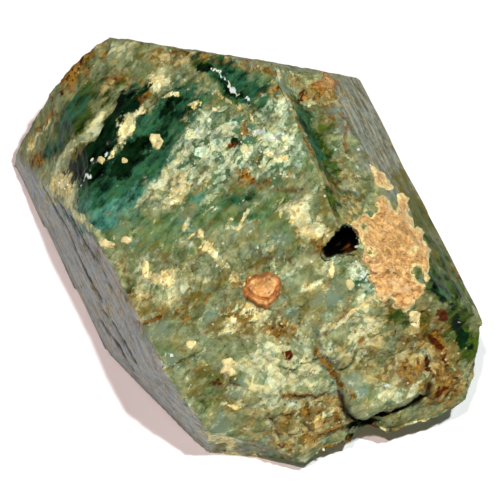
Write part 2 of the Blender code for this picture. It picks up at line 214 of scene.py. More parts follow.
def on_sight_plane(points):
    """(h, k) of each point, in millimetres on the sight plane."""
    offset = points - EYE
    depth = -(offset @ BACK) / SIGHT_DISTANCE
    return (offset @ RIGHT) / depth, (offset @ UP) / depth


def in_frame(points):
    """(x, y) of each point, in frame units."""
    h, k = on_sight_plane(points)
    return FRAME_MIDDLE + h / UNIT, FRAME_MIDDLE - k / UNIT


def sight_ray(h, k):
    return Vector(RIGHT * h + UP * k - BACK * SIGHT_DISTANCE).normalized()


def smooth_step(value, low, high):
    share = np.clip((value - low) / (high - low), 0.0, 1.0)
    return share * share * (3.0 - 2.0 * share)


def turned(across, up, turn):
    angle = math.radians(turn)
    return (
        across * math.cos(angle) + up * math.sin(angle),
        up * math.cos(angle) - across * math.sin(angle),
    )


def ellipse(h, k, shape):
    """1 at the middle of an ellipse and 0 at its edge, less outside."""
    centre_h, centre_k, half_width, half_height, turn = shape[:5]
    across, up = turned(h - centre_h, k - centre_k, turn)
    return 1.0 - (across / half_width) ** 2 - (up / half_height) ** 2


def side_of_path(h, k, path):
    """The distance from a path, less than 0 on its right hand side."""
    nearest = np.full(len(h), np.inf)
    side = np.ones(len(h))
    for start, end in zip(path, path[1:]):
        run = np.subtract(end, start)
        off_h, off_k = h - start[0], k - start[1]
        share = np.clip((off_h * run[0] + off_k * run[1]) / (run @ run), 0.0, 1.0)
        gap = np.hypot(off_h - share * run[0], off_k - share * run[1])
        closer = gap < nearest
        side = np.where(closer, np.where(run[0] * off_k - run[1] * off_h < 0.0, -1.0, 1.0), side)
        nearest = np.minimum(nearest, gap)
    return side * nearest


def distance_to_path(h, k, path):
    return np.abs(side_of_path(h, k, path))


def flat_place(x, y):
    """(h, k) of a place in frame units."""
    return (x - FRAME_MIDDLE) * UNIT, (FRAME_MIDDLE - y) * UNIT


def inside_by(h, k, outline):
    """How far each place is inside a closed outline, in millimetres; less than 0 outside."""
    corners = [flat_place(*corner) for corner in outline]
    closed = corners + corners[:1]
    inside = np.zeros(len(h), dtype=bool)
    for (h0, k0), (h1, k1) in zip(closed, closed[1:]):
        crossing = (k0 > k) != (k1 > k)
        at = h0 + (k - k0) / np.where(k1 == k0, 1e-9, k1 - k0) * (h1 - h0)
        inside ^= crossing & (h < at)
    return np.where(inside, 1.0, -1.0) * distance_to_path(h, k, closed)


def hashed(cell, seed):
    """A repeatable number from 0 to 1 for each row of whole numbers."""
    x, y, z = (cell[..., i].astype(np.int64) for i in range(3))
    mixed = (x * 73856093) ^ (y * 19349663) ^ (z * 83492791) ^ (seed * 2654435761)
    mixed = (mixed ^ (mixed >> 13)) * 1274126177 & 0x7FFFFFFF
    return ((mixed ^ (mixed >> 11)) & 0xFFFF) / 65535.0


def value_noise(place, seed):
    low = np.floor(place)
    share = place - low
    share = share * share * (3.0 - 2.0 * share)
    total = np.zeros(len(place))
    for corner in np.ndindex(2, 2, 2):
        corner = np.array(corner)
        weight = np.prod(np.where(corner == 1, share, 1.0 - share), axis=1)
        total += weight * hashed(low + corner, seed)
    return total


def fractal(place, octaves, seed):
    """Uneven noise around 0, from about -1 to 1."""
    total, height = np.zeros(len(place)), 1.0
    for octave in range(octaves):
        total += height * (2.0 * value_noise(place * 2.0 ** octave, seed + octave) - 1.0)
        height *= 0.5
    return total


def nearest_cell(place, seed):
    """The nearest cell of a cell pattern: its centre, and three numbers of its own."""
    base = np.floor(place)
    nearest = np.full(len(place), np.inf)
    centre = np.zeros_like(place)
    for step in np.ndindex(3, 3, 3):
        cell = base + np.array(step) - 1.0
        spot = cell + np.stack([hashed(cell, seed + axis) for axis in range(3)], axis=1)
        gap = np.linalg.norm(place - spot, axis=1)
        closer = gap < nearest
        nearest = np.where(closer, gap, nearest)
        centre[closer] = spot[closer]
    own = np.stack([hashed(np.floor(centre * 64.0), seed + 7 + axis) for axis in range(3)], axis=1)
    return centre, own


def facets(points, size, seed):
    """Flat leaning facets, one for each cell, from about -1 to 1."""
    place = points / size
    centre, own = nearest_cell(place, seed)
    return 2.0 * ((place - centre) * (own - 0.5)).sum(axis=1) + 0.6 * (own[:, 0] - 0.5)


def face_normal(about_axis, tilt):
    turn, lean = math.radians(about_axis), math.radians(tilt)
    return np.array([math.sin(turn) * math.cos(lean), math.sin(lean), math.cos(turn) * math.cos(lean)])


FACES = {
    name: (face_normal(about_axis, tilt), distance, kind)
    for name, (about_axis, tilt, distance, kind) in HABIT.items()
}
FACES["base"] = (np.array([0.0, 0.0, -1.0]), 0.0, RESTING)


def plain_crystal():
    """The crystal as flat faces only: a six-sided prism cut back to each face of HABIT."""
    mesh = bmesh.new()
    bmesh.ops.create_cone(
        mesh, cap_ends=True, segments=6, radius1=RAW_PRISM_RADIUS, radius2=RAW_PRISM_RADIUS,
        depth=RAW_PRISM_LENGTH, matrix=Matrix.Rotation(math.pi / 2.0, 4, "X"),
    )
    for direction, distance, _ in FACES.values():
        cut = bmesh.ops.bisect_plane(
            mesh, geom=mesh.verts[:] + mesh.edges[:] + mesh.faces[:],
            plane_co=direction * distance, plane_no=direction, clear_outer=True, dist=1e-5,
        )
        rim = [part for part in cut["geom_cut"] if isinstance(part, bmesh.types.BMEdge)]
        if rim:
            bmesh.ops.contextual_create(mesh, geom=rim)
    bmesh.ops.recalc_face_normals(mesh, faces=mesh.faces[:])
    return mesh


def pit_form(opening):
    """The hollow of the pit, as a tapered round form at its opening."""
    mesh = bmesh.new()
    bmesh.ops.create_uvsphere(mesh, u_segments=PIT_SIDES, v_segments=PIT_RINGS, radius=1.0)
    for vertex in mesh.verts:
        narrow = 1.0 - PIT_TAPER * float(smooth_step(-vertex.co.y, -0.5, 0.8))
        ripple = 1.0 + PIT_RIPPLE * noise.noise(vertex.co * 1.7 + PIT_NOISE_PLACE)
        vertex.co.x *= 0.5 * PIT_WIDTH * narrow * ripple
        vertex.co.y *= 0.5 * PIT_LENGTH * ripple
        vertex.co.z *= PIT_DEPTH
    facing = Matrix([Vector(row) for row in SIGHT]).transposed().to_4x4()
    spin = Matrix.Rotation(PIT_TURN, 4, "Z")
    bmesh.ops.transform(mesh, matrix=Matrix.Translation(opening) @ facing @ spin, verts=mesh.verts[:])
    return mesh


def linked(name, data):
    """A new object in the scene."""
    obj = bpy.data.objects.new(name, data)
    bpy.context.scene.collection.objects.link(obj)
    return obj


def mesh_object(name, mesh):
    """A new object made of a bmesh, which is freed."""
    data = bpy.data.meshes.new(name)
    mesh.to_mesh(data)
    mesh.free()
    return linked(name, data)


def fine_crystal():
    """Points, normals and four-sided faces of the plain crystal with its pit, all of one fine size."""
    plain = plain_crystal()
    tree = BVHTree.FromBMesh(plain)
    opening, _, _, _ = tree.ray_cast(Vector(EYE), sight_ray(*PIT_CENTRE))
    body = mesh_object("plain_body", plain)
    pit = mesh_object("pit_body", pit_form(opening))
    cut = body.modifiers.new("Pit", "BOOLEAN")
    cut.operation = "DIFFERENCE"
    cut.object = pit
    cut.solver = "EXACT"
    even = body.modifiers.new("Even", "REMESH")
    even.mode = "VOXEL"
    even.voxel_size = VOXEL
    done = body.evaluated_get(bpy.context.evaluated_depsgraph_get())
    data = done.to_mesh()
    points, normals, faces = mesh_arrays(data)
    done.to_mesh_clear()
    for obj in (body, pit):
        bpy.data.objects.remove(obj, do_unlink=True)
    return points, normals, faces


def mesh_arrays(data):
    """The points, the normals and the four corners of each face of a mesh."""
    points = np.empty(len(data.vertices) * 3)
    data.vertices.foreach_get("co", points)
    normals = np.empty(len(data.vertices) * 3)
    data.vertex_normals.foreach_get("vector", normals)
    corners = np.empty(len(data.loops), dtype=np.int32)
    data.loops.foreach_get("vertex_index", corners)
    return points.reshape(-1, 3), normals.reshape(-1, 3), corners.reshape(-1, 4)


def slow_wave(points):
    """Slow unevenness from 0 to -1."""
    places = points / WAVE_SIZE
    return np.array([0.5 * noise.fractal(Vector(place), 1.0, 2.0, 3) - 0.5 for place in places])


def broad_chips(points, size):
    """The broadest chips: flat leaning facets from Blender's own cell noise."""
    heights = []
    for row in points / size:
        place = Vector(row)
        centre = noise.voronoi(place)[1][0]
        lean = noise.cell_vector(centre * 37.0) - Vector((0.5, 0.5, 0.5))
        heights.append(2.0 * (place - centre).dot(lean) + 0.6 * (noise.cell(centre * 53.0) - 0.5))
    return np.array(heights)


def face_relief(points, calm):
    """How far the surface is worn back at each point, by the kinds of face it lies on."""
    wave = slow_wave(points)
    chips = [broad_chips(points, CHIP_SIZES[0])]
    chips += [facets(points, size, 11 + 5 * i) for i, size in enumerate(CHIP_SIZES[1:])]
    grooves = fractal(points / np.array([STRIATION_WIDTH, STRIATION_LENGTH, STRIATION_WIDTH]), 3, 3)
    total = np.zeros(len(points))
    weights = np.zeros(len(points))
    for name, (direction, distance, kind) in FACES.items():
        weight = np.clip(1.0 - (distance - points @ direction) / BLEND_WIDTH, 0.0, 1.0)
        wave_depth, chip_depths = WEAR[kind]
        height = wave_depth * wave
        for chip, depth, easing in zip(chips, chip_depths, CHIP_EASING):
            height = height + depth * (chip - CHIP_LEVEL) * (1.0 - easing * calm)
        if kind == GROWN:
            height = height + STRIATION_DEPTH * (grooves - 0.6)
        if name in ("right_upper", "right_bevel"):
            height = height + valley(points)
        total += weight * height
        weights += weight
    return total / np.maximum(weights, 1.0)


def valley(points):
    """The steep side and the shelf to the right of the ridge."""
    normal, distance, _ = FACES["top"]
    below_top = np.maximum(distance - points @ normal, 0.0)
    fade = smooth_step(points[:, 1], VALLEY_END - VALLEY_FADE, VALLEY_END + VALLEY_FADE)
    return fade * np.interp(below_top / RIDGE_SINE, *VALLEY_PROFILE)


def swells(h, k, shapes):
    """How far some dents and swells move each place."""
    return sum(shape[5] * smooth_step(ellipse(h, k, shape), 0.0, 1.0) for shape in shapes.values())


def lump(h, k):
    """The rounded lump, which stands out most at its lower rim."""
    inside = inside_by(h, k, LUMP_OUTLINE)
    share = smooth_step(FRAME_MIDDLE - k / UNIT, LUMP_HIGH, LUMP_LOW)
    rim = 0.65 * smooth_step(inside, 0.0, 0.9)
    slope = 0.35 * smooth_step(inside, 0.0, 3.5)
    return LUMP_RISE * share * (rim + slope)


def ledges(h, k):
    """Small steps along lines: raised beside the line and fading away from it."""
    total = np.zeros(len(h))
    for path, height, reach in LEDGES.values():
        off = side_of_path(h, k, [flat_place(*place) for place in path])
        total += height * smooth_step(off, -0.3, 0.3) * np.exp(-np.abs(off) / reach)
    return total


def crevice_share(h, k):
    """1 in the middle of the crevice under the lump and 0 away from it."""
    gap = distance_to_path(h, k, [flat_place(*place) for place in CREVICE])
    return 1.0 - smooth_step(gap, 0.15, CREVICE_HALF_WIDTH)


def seen_relief(h, k, facing):
    """How far each point moves towards the eye: dents, swells, ledges, the lump and its crevice."""
    height = swells(h, k, SWELLS) + lump(h, k) + ledges(h, k)
    height -= CREVICE_DEPTH * crevice_share(h, k)
    return smooth_step(facing, *RELIEF_FACING) * height


# Crumbly kinds show less between their marks where a mark of a glassy kind lies.
CRUMBLY_KINDS = ("mint", "cream", "stain", "maroon", "tan", "pale")
GLASSY_KINDS = ("teal", "moss", "deep", "dark")
# Marks of colour, each at a place in the frame: x, y, half length, half width, turn and strength.
MARKS = {
    "tan": {
        "bottom": (312, 426, 48, 30, 8, 1.0), "lump_top": (366, 338, 34, 26, 20, 1.0),
        "terrace": (346, 182, 44, 16, -62, 0.9), "crest": (308, 130, 50, 6, -60, 1.15),
        "crest_low": (332, 196, 24, 4, -78, 0.95), "crest_top": (276, 90, 16, 6, 15, 0.9),
        "hole_left": (312, 232, 26, 22, -50, 0.9), "middle": (240, 318, 50, 18, 8, 0.85),
        "red_grains": (290, 334, 26, 16, -10, 0.9), "right_field": (430, 366, 56, 30, -55, 0.9),
        "left_granules": (150, 292, 44, 22, 10, 0.75), "far_top": (112, 84, 30, 12, 20, 0.7),
        "far_edge": (220, 60, 110, 7, -9, 0.9), "under_mint": (232, 180, 30, 12, 5, 0.7),
        "lower_left": (230, 404, 36, 14, 0, 0.6), "right_end": (330, 96, 26, 12, -20, 0.8),
        "lump": (402, 376, 32, 22, 20, 0.9),
    },
    "slate": {
        "right_face": (376, 132, 66, 18, -62, 1.2), "right_face_low": (424, 214, 60, 14, -63, 0.85),
        "corner": (354, 84, 18, 10, -50, 0.9), "far_rim": (250, 62, 60, 3, -9, 0.6),
    },
    "smooth": {
        "centre": (246, 214, 58, 26, -4, 1.1), "left_mottle": (150, 230, 52, 24, 8, 1.0),
        "apex": (118, 48, 18, 12, 20, 1.0), "top_band": (138, 66, 34, 12, 48, 0.95),
        "far_facet": (68, 128, 54, 30, 57, 1.1), "right_face": (392, 160, 110, 20, -62, 1.2),
        "right_end": (462, 310, 50, 20, -60, 1.0), "beside_hole": (330, 300, 34, 16, 70, 0.8),
        "lower_plane": (216, 420, 48, 30, -20, 0.85), "lower_blue": (251, 386, 16, 15, 0, 0.9),
        "left_smooth": (158, 336, 24, 18, 0, 0.85), "lump_left": (362, 394, 26, 22, 0, 1.0),
        "scoop": (240, 84, 50, 18, -30, 1.0), "ridge_side": (316, 150, 62, 12, -63, 0.9),
        "beside_grain": (294, 284, 16, 14, 0, 0.8),
    },
    "green": {
        "top_band": (140, 68, 20, 9, 52, 0.8), "centre": (240, 206, 56, 20, -4, 1.0),
        "centre_right": (282, 232, 30, 12, -50, 0.7), "left_mottle": (150, 232, 48, 20, 5, 1.0),
        "ridge_left": (300, 148, 26, 8, -63, 1.05), "scoop_right": (256, 76, 28, 9, -18, 0.9),
        "field_edge": (196, 196, 18, 9, 20, 0.7), "above_star": (226, 350, 22, 12, 10, 0.5),
        "lower_plane": (232, 432, 40, 18, -8, 0.6),
    },
    "olive": {
        "far_yellow": (138, 50, 12, 7, 10, 0.8), "far_facet": (66, 128, 44, 22, 57, 0.6),
        "facet_rim": (90, 132, 44, 5, 57, 0.7), "ridge_foot": (326, 212, 20, 8, -70, 0.85),
        "field_notch": (232, 192, 11, 7, 10, 0.75), "speck_line": (270, 258, 28, 8, -4, 0.7),
        "middle": (236, 316, 44, 16, 12, 0.65), "left_low": (140, 248, 46, 14, 0, 0.6),
        "left_middle": (190, 292, 36, 26, 0, 0.5), "star_field": (225, 376, 46, 18, 8, 0.65),
        "lower_plane": (230, 408, 34, 12, 5, 0.6), "right_face_low": (424, 214, 56, 12, -63, 0.85),
        "lump_top": (354, 336, 30, 20, 30, 0.7), "terrace": (342, 182, 30, 12, -62, 0.6),
        "bottom": (300, 420, 44, 16, 10, 0.55), "right_end": (446, 352, 40, 14, -62, 0.6),
        "left_end": (168, 388, 20, 10, -50, 0.5),
    },
    "blue_grey": {
        "left_smooth": (158, 332, 16, 12, 0, 0.85), "lower_blue": (251, 386, 16, 15, 0, 0.85),
        "glint_side": (172, 360, 12, 9, -30, 0.6), "scoop_end": (284, 79, 11, 7, -20, 0.85),
        "seam_ledge": (328, 356, 18, 8, -60, 0.85), "lump_left": (352, 392, 20, 20, 0, 0.8),
        "beside_hole": (331, 300, 32, 13, 70, 0.8), "beside_grain": (294, 284, 15, 13, 0, 0.65),
        "terrace_bump": (341, 135, 8, 9, 0, 0.9), "below_strip": (392, 200, 10, 5, -60, 0.9),
        "centre_smooth": (268, 236, 26, 18, 0, 0.6), "lower_plane": (216, 424, 26, 14, -20, 0.6),
        "granular_terrace": (352, 190, 22, 14, -50, 0.6),
    },
    "teal": {
        "left_pool": (108, 192, 38, 24, 35, 1.2), "left_edge": (98, 218, 20, 15, 30, 1.1),
        "below_dark": (160, 164, 34, 14, 45, 0.95), "centre_hint": (199, 196, 11, 6, 20, 0.75),
        "left_mottle": (176, 226, 18, 9, 10, 0.55), "beside_crust": (358, 276, 12, 9, 20, 0.6),
    },
    "moss": {
        "facet_streak": (72, 118, 40, 13, 58, 1.1), "facet_streak_low": (60, 142, 20, 10, 50, 1.0),
        "facet_spot": (94, 96, 20, 10, 30, 0.9), "small_wedge": (120, 83, 11, 5, 15, 0.85),
        "scoop": (228, 81, 36, 9, -38, 1.1), "ridge_face": (322, 136, 46, 13, -63, 1.0),
        "ridge_foot": (335, 196, 22, 7, -65, 0.9), "beside_ridge": (332, 118, 30, 8, -55, 0.6),
        "under_crust": (398, 318, 28, 13, -48, 0.85), "right_pool": (446, 286, 44, 16, -60, 1.0),
        "right_edge": (466, 336, 32, 15, -60, 1.1), "right_stripe": (430, 332, 34, 6, -58, 0.85),
        "right_upper": (428, 232, 40, 8, -62, 0.7), "seam_step": (326, 358, 24, 3, -60, 0.95),
        "left_blotch": (204, 402, 24, 13, 20, 0.58), "star_shade": (213, 382, 22, 9, 0, 0.66),
        "left_notch": (124, 285, 9, 8, 0, 0.7), "patch_hole": (153, 284, 5, 5, 0, 0.8),
        "beside_fleck": (344, 270, 9, 7, 0, 0.5), "field_hole": (230, 142, 9, 4, 25, 0.95),
    },
    "mint": {
        "sparkling_field": (238, 146, 62, 40, 5, 0.85), "field_heart": (272, 150, 32, 30, 0, 0.8),
        "field_left": (196, 152, 18, 36, -40, 0.8), "field_lower_left": (178, 182, 28, 16, 40, 0.7),
        "ridge_top": (280, 106, 14, 18, 20, 0.85), "under_crust": (362, 274, 28, 13, -60, 0.9),
        "hole_side": (359, 243, 8, 9, 0, 0.9),
    },
    "pale": {
        "apex": (117, 49, 13, 10, 20, 0.85), "upper_patch": (158, 78, 16, 15, 0, 0.85),
        "facet_rim": (86, 132, 42, 4, 47, 1.05), "pale_plane": (284, 368, 42, 32, -10, 1.1),
        # The marks along the pale plane's left edge and along the left rim are painted highlights on lit
        # edges.
        "pale_plane_edge_highlight": (258, 386, 22, 5, -50, 1.1), "pale_plane_low": (268, 400, 17, 14, 0, 0.9),
        "left_corner": (60, 185, 18, 17, -40, 1.0), "left_rim_highlight": (78, 216, 50, 4, -53, 1.1),
        "pool_side": (164, 172, 40, 7, 44, 0.9), "seam_corner": (368, 306, 24, 13, 30, 0.95),
        "lump_plane": (356, 336, 30, 22, 20, 0.75), "lump_spot": (396, 396, 15, 10, 15, 0.85),
        "end_corner": (220, 444, 22, 8, -25, 0.8), "ridge_foot": (300, 212, 18, 14, 0, 0.8),
        "left_granules": (166, 284, 32, 16, 8, 0.8),
    },
    "deep": {
        "pool": (128, 154, 52, 24, 42, 1.35), "pool_tail": (100, 176, 26, 18, 35, 1.2),
        "upper_right_pool": (168, 110, 34, 18, 40, 1.15), "pool_right": (160, 134, 28, 16, 45, 1.0),
        "band_top": (132, 98, 20, 8, 50, 1.0), "centre_hint": (196, 198, 14, 5, 20, 0.75),
        "far_facet": (64, 126, 36, 6, 60, 1.0), "far_facet_right": (84, 104, 18, 5, 45, 0.85),
        "scoop": (234, 78, 36, 12, -34, 1.15), "centre": (236, 195, 24, 5, 12, 0.75),
        "centre_low": (262, 214, 22, 5, 30, 0.6), "right_pool": (442, 290, 26, 8, -56, 0.75),
        "beside_crust": (356, 280, 9, 7, 30, 0.7), "ridge_face": (317, 130, 42, 8, -62, 1.0),
    },
    "dark": {
        "upper_band": (104, 134, 50, 7, 52, 1.4), "band_foot": (90, 162, 18, 9, 48, 1.3),
        "pool_core": (126, 154, 26, 10, 42, 1.35), "core_right": (148, 140, 14, 7, 40, 0.9),
        "upper_right_streak": (170, 106, 22, 4, 42, 0.85), "scoop_heart": (230, 85, 22, 4, -38, 0.8),
        "scoop_edge": (204, 65, 9, 4, -10, 0.9), "field_hole": (235, 138, 8, 5, 20, 0.75),
        "right_pool_heart": (443, 300, 16, 7, -58, 0.85),
        "right_edge_heart": (465, 338, 20, 6, -62, 0.9),
    },
    "stain": {
        "far_outline": (78, 67, 36, 9, 47, 0.95), "far_outline_low": (42, 120, 34, 4, 60, 0.65),
        "left_tip": (34, 162, 8, 9, -60, 0.85), "band_grains": (114, 76, 12, 5, 10, 0.75),
        "far_edge": (192, 52, 22, 4, -10, 0.85), "far_edge_right": (250, 66, 40, 2.5, -9, 0.6),
        "knob_rim": (322, 83, 13, 8, 0, 0.8), "ridge_crest": (306, 136, 36, 4, -62, 0.64),
        "ridge_peak": (268, 88, 10, 5, 10, 0.7), "field_spot": (241, 177, 10, 6, 0, 0.95),
        "field_spot_high": (244, 130, 8, 5, 30, 0.8), "cream_left": (178, 194, 6, 5, 0, 0.85),
        "band_top": (139, 96, 6, 5, 0, 0.7), "left_streak": (149, 317, 14, 4, 33, 0.95),
        "left_spot": (184, 315, 7, 3, 0, 0.85), "under_fleck": (106, 255, 9, 4, 0, 0.6),
        "grain_side": (234, 278, 18, 5, -48, 0.6), "red_grains": (283, 332, 17, 11, -10, 0.85),
        "middle": (238, 318, 32, 9, 8, 0.55), "seam": (333, 374, 28, 4, -64, 0.9),
        "seam_low": (300, 398, 24, 6, 2, 0.85), "below_seam": (310, 416, 34, 16, 15, 0.62),
        "lump_right": (412, 378, 18, 12, 30, 0.78), "lump_line": (362, 350, 20, 4, 40, 0.55),
        "right_field": (440, 346, 44, 13, -62, 0.72), "right_ledge": (440, 392, 26, 18, 20, 0.7),
        "bottom_edge": (286, 448, 18, 7, 0, 0.7), "bottom_middle": (330, 434, 26, 12, 25, 0.7),
        "hole_left": (318, 248, 14, 10, 0, 0.55), "right_edge": (462, 274, 20, 4, -62, 0.8),
        "terrace": (338, 168, 22, 7, -62, 0.5),
    },
    "cream": {
        "left_corner": (62, 186, 14, 13, -40, 0.85), "centre_left": (163, 274, 22, 8, 8, 0.75),
        "centre_left_low": (156, 296, 15, 6, 10, 0.65), "mint_left": (176, 184, 22, 12, 45, 0.85),
        "tan_band": (128, 122, 30, 5, 57, 0.8), "upper_patch": (158, 77, 13, 14, 0, 0.85),
        "ridge_foot": (296, 208, 14, 12, 0, 0.85), "ridge_foot_low": (318, 234, 15, 10, 0, 0.85),
        "scoop_rim": (240, 106, 28, 3, -38, 0.8), "left_of_hole": (318, 286, 14, 9, 20, 0.65),
        "grain_streak": (204, 243, 30, 6, -53, 0.75), "grain_streak_low": (228, 268, 20, 5, -48, 0.65),
        "short_streak": (243, 220, 18, 3.5, 60, 0.75), "vein": (226, 331, 16, 3, 18, 0.85),
        "middle": (244, 320, 36, 12, 8, 0.6), "seam": (348, 319, 30, 4.5, 35, 0.9),
        "left_outline": (40, 134, 26, 4, 62, 0.6), "end_corner": (217, 443, 18, 6, -27, 0.9),
        "light_streak": (235, 409, 14, 3, 0, 0.85), "pool_speck": (168, 97, 10, 4, 15, 0.85),
        "pool_speck_right": (190, 101, 5, 4, 0, 0.9), "field_a": (246, 145, 6, 4, 0, 0.85),
        "field_b": (264, 154, 9, 4, -10, 0.85), "field_c": (281, 159, 7, 5, 0, 0.85),
        "field_d": (214, 108, 12, 4, 20, 0.75), "field_e": (186, 176, 12, 8, 40, 0.6),
        "fleck_field": (110, 243, 14, 5, 0, 0.5), "low_granules": (320, 418, 30, 14, 10, 0.5),
    },
    # The painted glints: small near-white painted highlights where the lights catch glassy facets.
    "painted_glint": {
        "streak": (82, 179, 10, 1.1, 50, 1.0), "pool_a": (103, 147, 2.4, 1.6, 40, 1.1),
        "pool_b": (91, 158, 4, 1.2, 50, 1.0), "scoop_a": (214, 69, 6, 1.3, -15, 0.8),
        "scoop_b": (232, 84, 7, 1.2, -42, 0.85), "scoop_c": (247, 95, 6, 1.3, -40, 0.85),
        "scoop_d": (222, 76, 8, 0.9, -40, 0.75), "terrace": (365, 148, 2.4, 2, 0, 1.0),
        "lump": (389, 386, 3.4, 1.8, 0, 1.2), "left_low": (169, 355, 5, 1.8, 10, 0.95),
        "left_low_b": (178, 368, 4, 2, -40, 0.85), "crust_edge": (358, 268, 8, 2, -60, 0.7),
        "seam_corner": (373, 292, 12, 4, -55, 0.7), "field_a": (256, 128, 8, 4, 20, 0.7),
        "field_b": (270, 134, 9, 5, 0, 0.75), "field_c": (196, 132, 8, 2, -50, 0.7),
    },
    "maroon": {
        "right_a": (440, 352, 15, 3.5, -52, 0.95), "right_b": (444, 322, 9, 3, -40, 0.9),
        "right_c": (431, 372, 11, 3, -50, 0.85), "ledge_a": (436, 394, 9, 4, 30, 0.85),
        "ledge_b": (453, 380, 7, 3, -40, 0.8), "plane_pit": (291, 355, 6, 3, 20, 1.0),
        "far_red": (60, 91, 4, 3, 0, 0.85), "low_a": (304, 399, 11, 2.5, 3, 0.85),
        "low_b": (326, 440, 6, 3, 10, 0.85), "left_blotch": (218, 386, 10, 3, 0, 0.7),
        "field_hole": (231, 143, 6, 2.5, 25, 0.8), "left_streak": (146, 320, 8, 1.5, 33, 0.7),
        "knob_side": (310, 84, 4, 6, 0, 0.8), "seam": (334, 380, 14, 1.6, -66, 0.7),
    },
}
# How much of each kind the broken and the grown faces have between the marks. After the size
# of the patches in millimetres, the same on the sides away from the sight.
BETWEEN_MARKS = {
    "tan": (0.3, 0.05, 9.0, 0.45, 0.25),
    "slate": (0.05, 0.12, 10.0, 0.1, 0.4),
    "smooth": (0.2, 0.4, 12.0, 0.35, 0.55),
    "green": (0.28, 0.0, 11.0, 0.42, 0.25),
    "olive": (0.3, 0.15, 8.0, 0.45, 0.36),
    "blue_grey": (0.28, 0.1, 10.0, 0.4, 0.3),
    "teal": (0.05, 0.0, 9.0, 0.22, 0.05),
    "moss": (0.2, 0.0, 8.0, 0.36, 0.2),
    "mint": (0.24, 0.0, 9.0, 0.42, 0.1),
    "pale": (0.2, 0.0, 8.0, 0.36, 0.12),
    "deep": (0.05, -0.1, 11.0, 0.3, 0.05),
    "dark": (-0.1, -0.2, 12.0, 0.2, 0.0),
    "stain": (0.2, 0.0, 7.0, 0.38, 0.22),
    "cream": (0.2, 0.0, 6.0, 0.36, 0.1),
    # Painted glints also fall thinly between their marks and on the sides away from the sight.
    "painted_glint": (0.12, -0.1, 3.0, 0.12, 0.0),
    "maroon": (0.08, 0.0, 4.0, 0.22, 0.05),
}
UNSEEN_VARIATION = 0.34
# How much less of the crumbly kinds there is in the glassy marks.
GLASSY_CLEARING = 0.6
# How grey each grown face is; faces left out aren't grey.
ASHEN = {
    "left": 1.0, "low_left": 1.0, "right_side": 0.2, "right_bevel": 0.1, "lower_right": 0.5,
    "far_low": 0.6, "far_left": 0.5, "near_left": 0.4,
}
# How far a face's weight reaches past its edge, in millimetres.
FACE_FADE = 0.3
# Noise that shifts the marks' edges: patch size in millimetres, reach in frame units and seed.
WARPS = ((5.0, 6.0, 31), (1.6, 2.4, 41))

# Fine cracks in the grey faces, as paths in frame units.
CRACKS = {
    "long": ((40, 186), (52, 206), (68, 234), (80, 262), (90, 282), (100, 302)),
    "short": ((70, 216), (86, 248), (100, 268), (110, 292)),
    "low": ((96, 304), (110, 322), (124, 346), (132, 360), (140, 372)),
    "fine_high": ((54, 198), (66, 216), (78, 238)),
    "fine_low": ((100, 322), (116, 346), (132, 372)),
}
CRACK_DEPTH = 0.35
CRACK_HALF_WIDTH = 0.24
CRACK_WOBBLE = 0.8
# Brown seams between the patches of stone, as paths in frame units.
SEAMS = {
    "lump_side": (
        (324, 334), (330, 346), (336, 354), (338, 366), (334, 376), (340, 388), (338, 400), (344, 412),
    ),
    "lump_top": ((318, 338), (332, 326), (344, 316), (352, 308), (362, 300)),
    "pale_plane_right": ((318, 340), (326, 356), (333, 370)),
    "speckled": ((250, 246), (262, 256), (270, 257), (281, 253), (292, 264), (307, 255), (322, 250)),
    "middle": ((276, 312), (284, 322), (292, 332), (302, 340)),
    "low": ((292, 401), (304, 399), (318, 402), (328, 398), (338, 404)),
    "field_edge": ((214, 182), (232, 177), (246, 180), (262, 178), (276, 188), (292, 188)),
    "ridge_foot": ((334, 172), (337, 190), (335, 204), (339, 216), (334, 228)),
    "terrace": ((342, 108), (350, 122), (348, 138), (352, 152), (348, 166)),
    "terrace_high": ((326, 98), (334, 108), (340, 120)),
    "right_zone": ((388, 304), (396, 322), (404, 340), (416, 356), (424, 372)),
    "right_dark": ((430, 322), (438, 334), (434, 350), (440, 362), (434, 378)),
    "right_dark_low": ((424, 372), (438, 378), (448, 372), (458, 384)),
    "left_brown": ((140, 324), (150, 317), (162, 309), (174, 312), (186, 315)),
    "left_notch": ((112, 252), (120, 262), (124, 278), (130, 292)),
    "shade": ((204, 384), (216, 388), (226, 392), (238, 388)),
    "grain_side": ((222, 262), (232, 274), (240, 286), (246, 300)),
    "far_band": ((104, 76), (114, 76), (124, 82), (134, 92), (140, 100)),
    "upper": ((190, 58), (202, 60), (216, 62)),
    "bottom": ((262, 420), (276, 428), (280, 440), (288, 452)),
}
SEAM_DEPTH = 0.25
SEAM_HALF_WIDTH = 0.42
SEAM_WOBBLE = 2.5
# How far below the plain faces the pit's painted shade starts and is full.
PIT_RIM = (0.3, 1.2)
# Shares of smooth or deep stone between which the chips are eased.
CALM_SHARES = (0.25, 0.65)
# The part of the pit's wall painted as lit, where light reaches it, as marks.
PIT_LIT = {"inside": (347, 248, 8, 5, 60, 1.0), "low": (337, 254, 7, 2.5, 40, 0.9)}


def blend(first, second, share):
    return first + (second - first) * share


def face_share(points, weights):
    """The weights of the faces that each point lies on, blended at their edges."""
    total = np.zeros(len(points))
    shares = np.zeros(len(points))
    for name, (direction, distance, _) in FACES.items():
        near = np.exp(-np.maximum(distance - points @ direction, 0.0) / FACE_FADE)
        total += near * weights.get(name, 0.0)
        shares += near
    return total / np.maximum(shares, 1e-9)


def mark_strength(x, y, marks):
    """How strong the strongest of some marks is at each place in the frame."""
    strongest = np.zeros(len(x))
    for mark_x, mark_y, half_length, half_width, turn, strength in marks.values():
        along, across = turned(x - mark_x, mark_y - y, turn)
        gap = np.hypot(along / half_length, across / half_width)
        strongest = np.maximum(strongest, strength * np.clip(1.0 - 0.5 * gap, 0.0, 1.0))
    return strongest


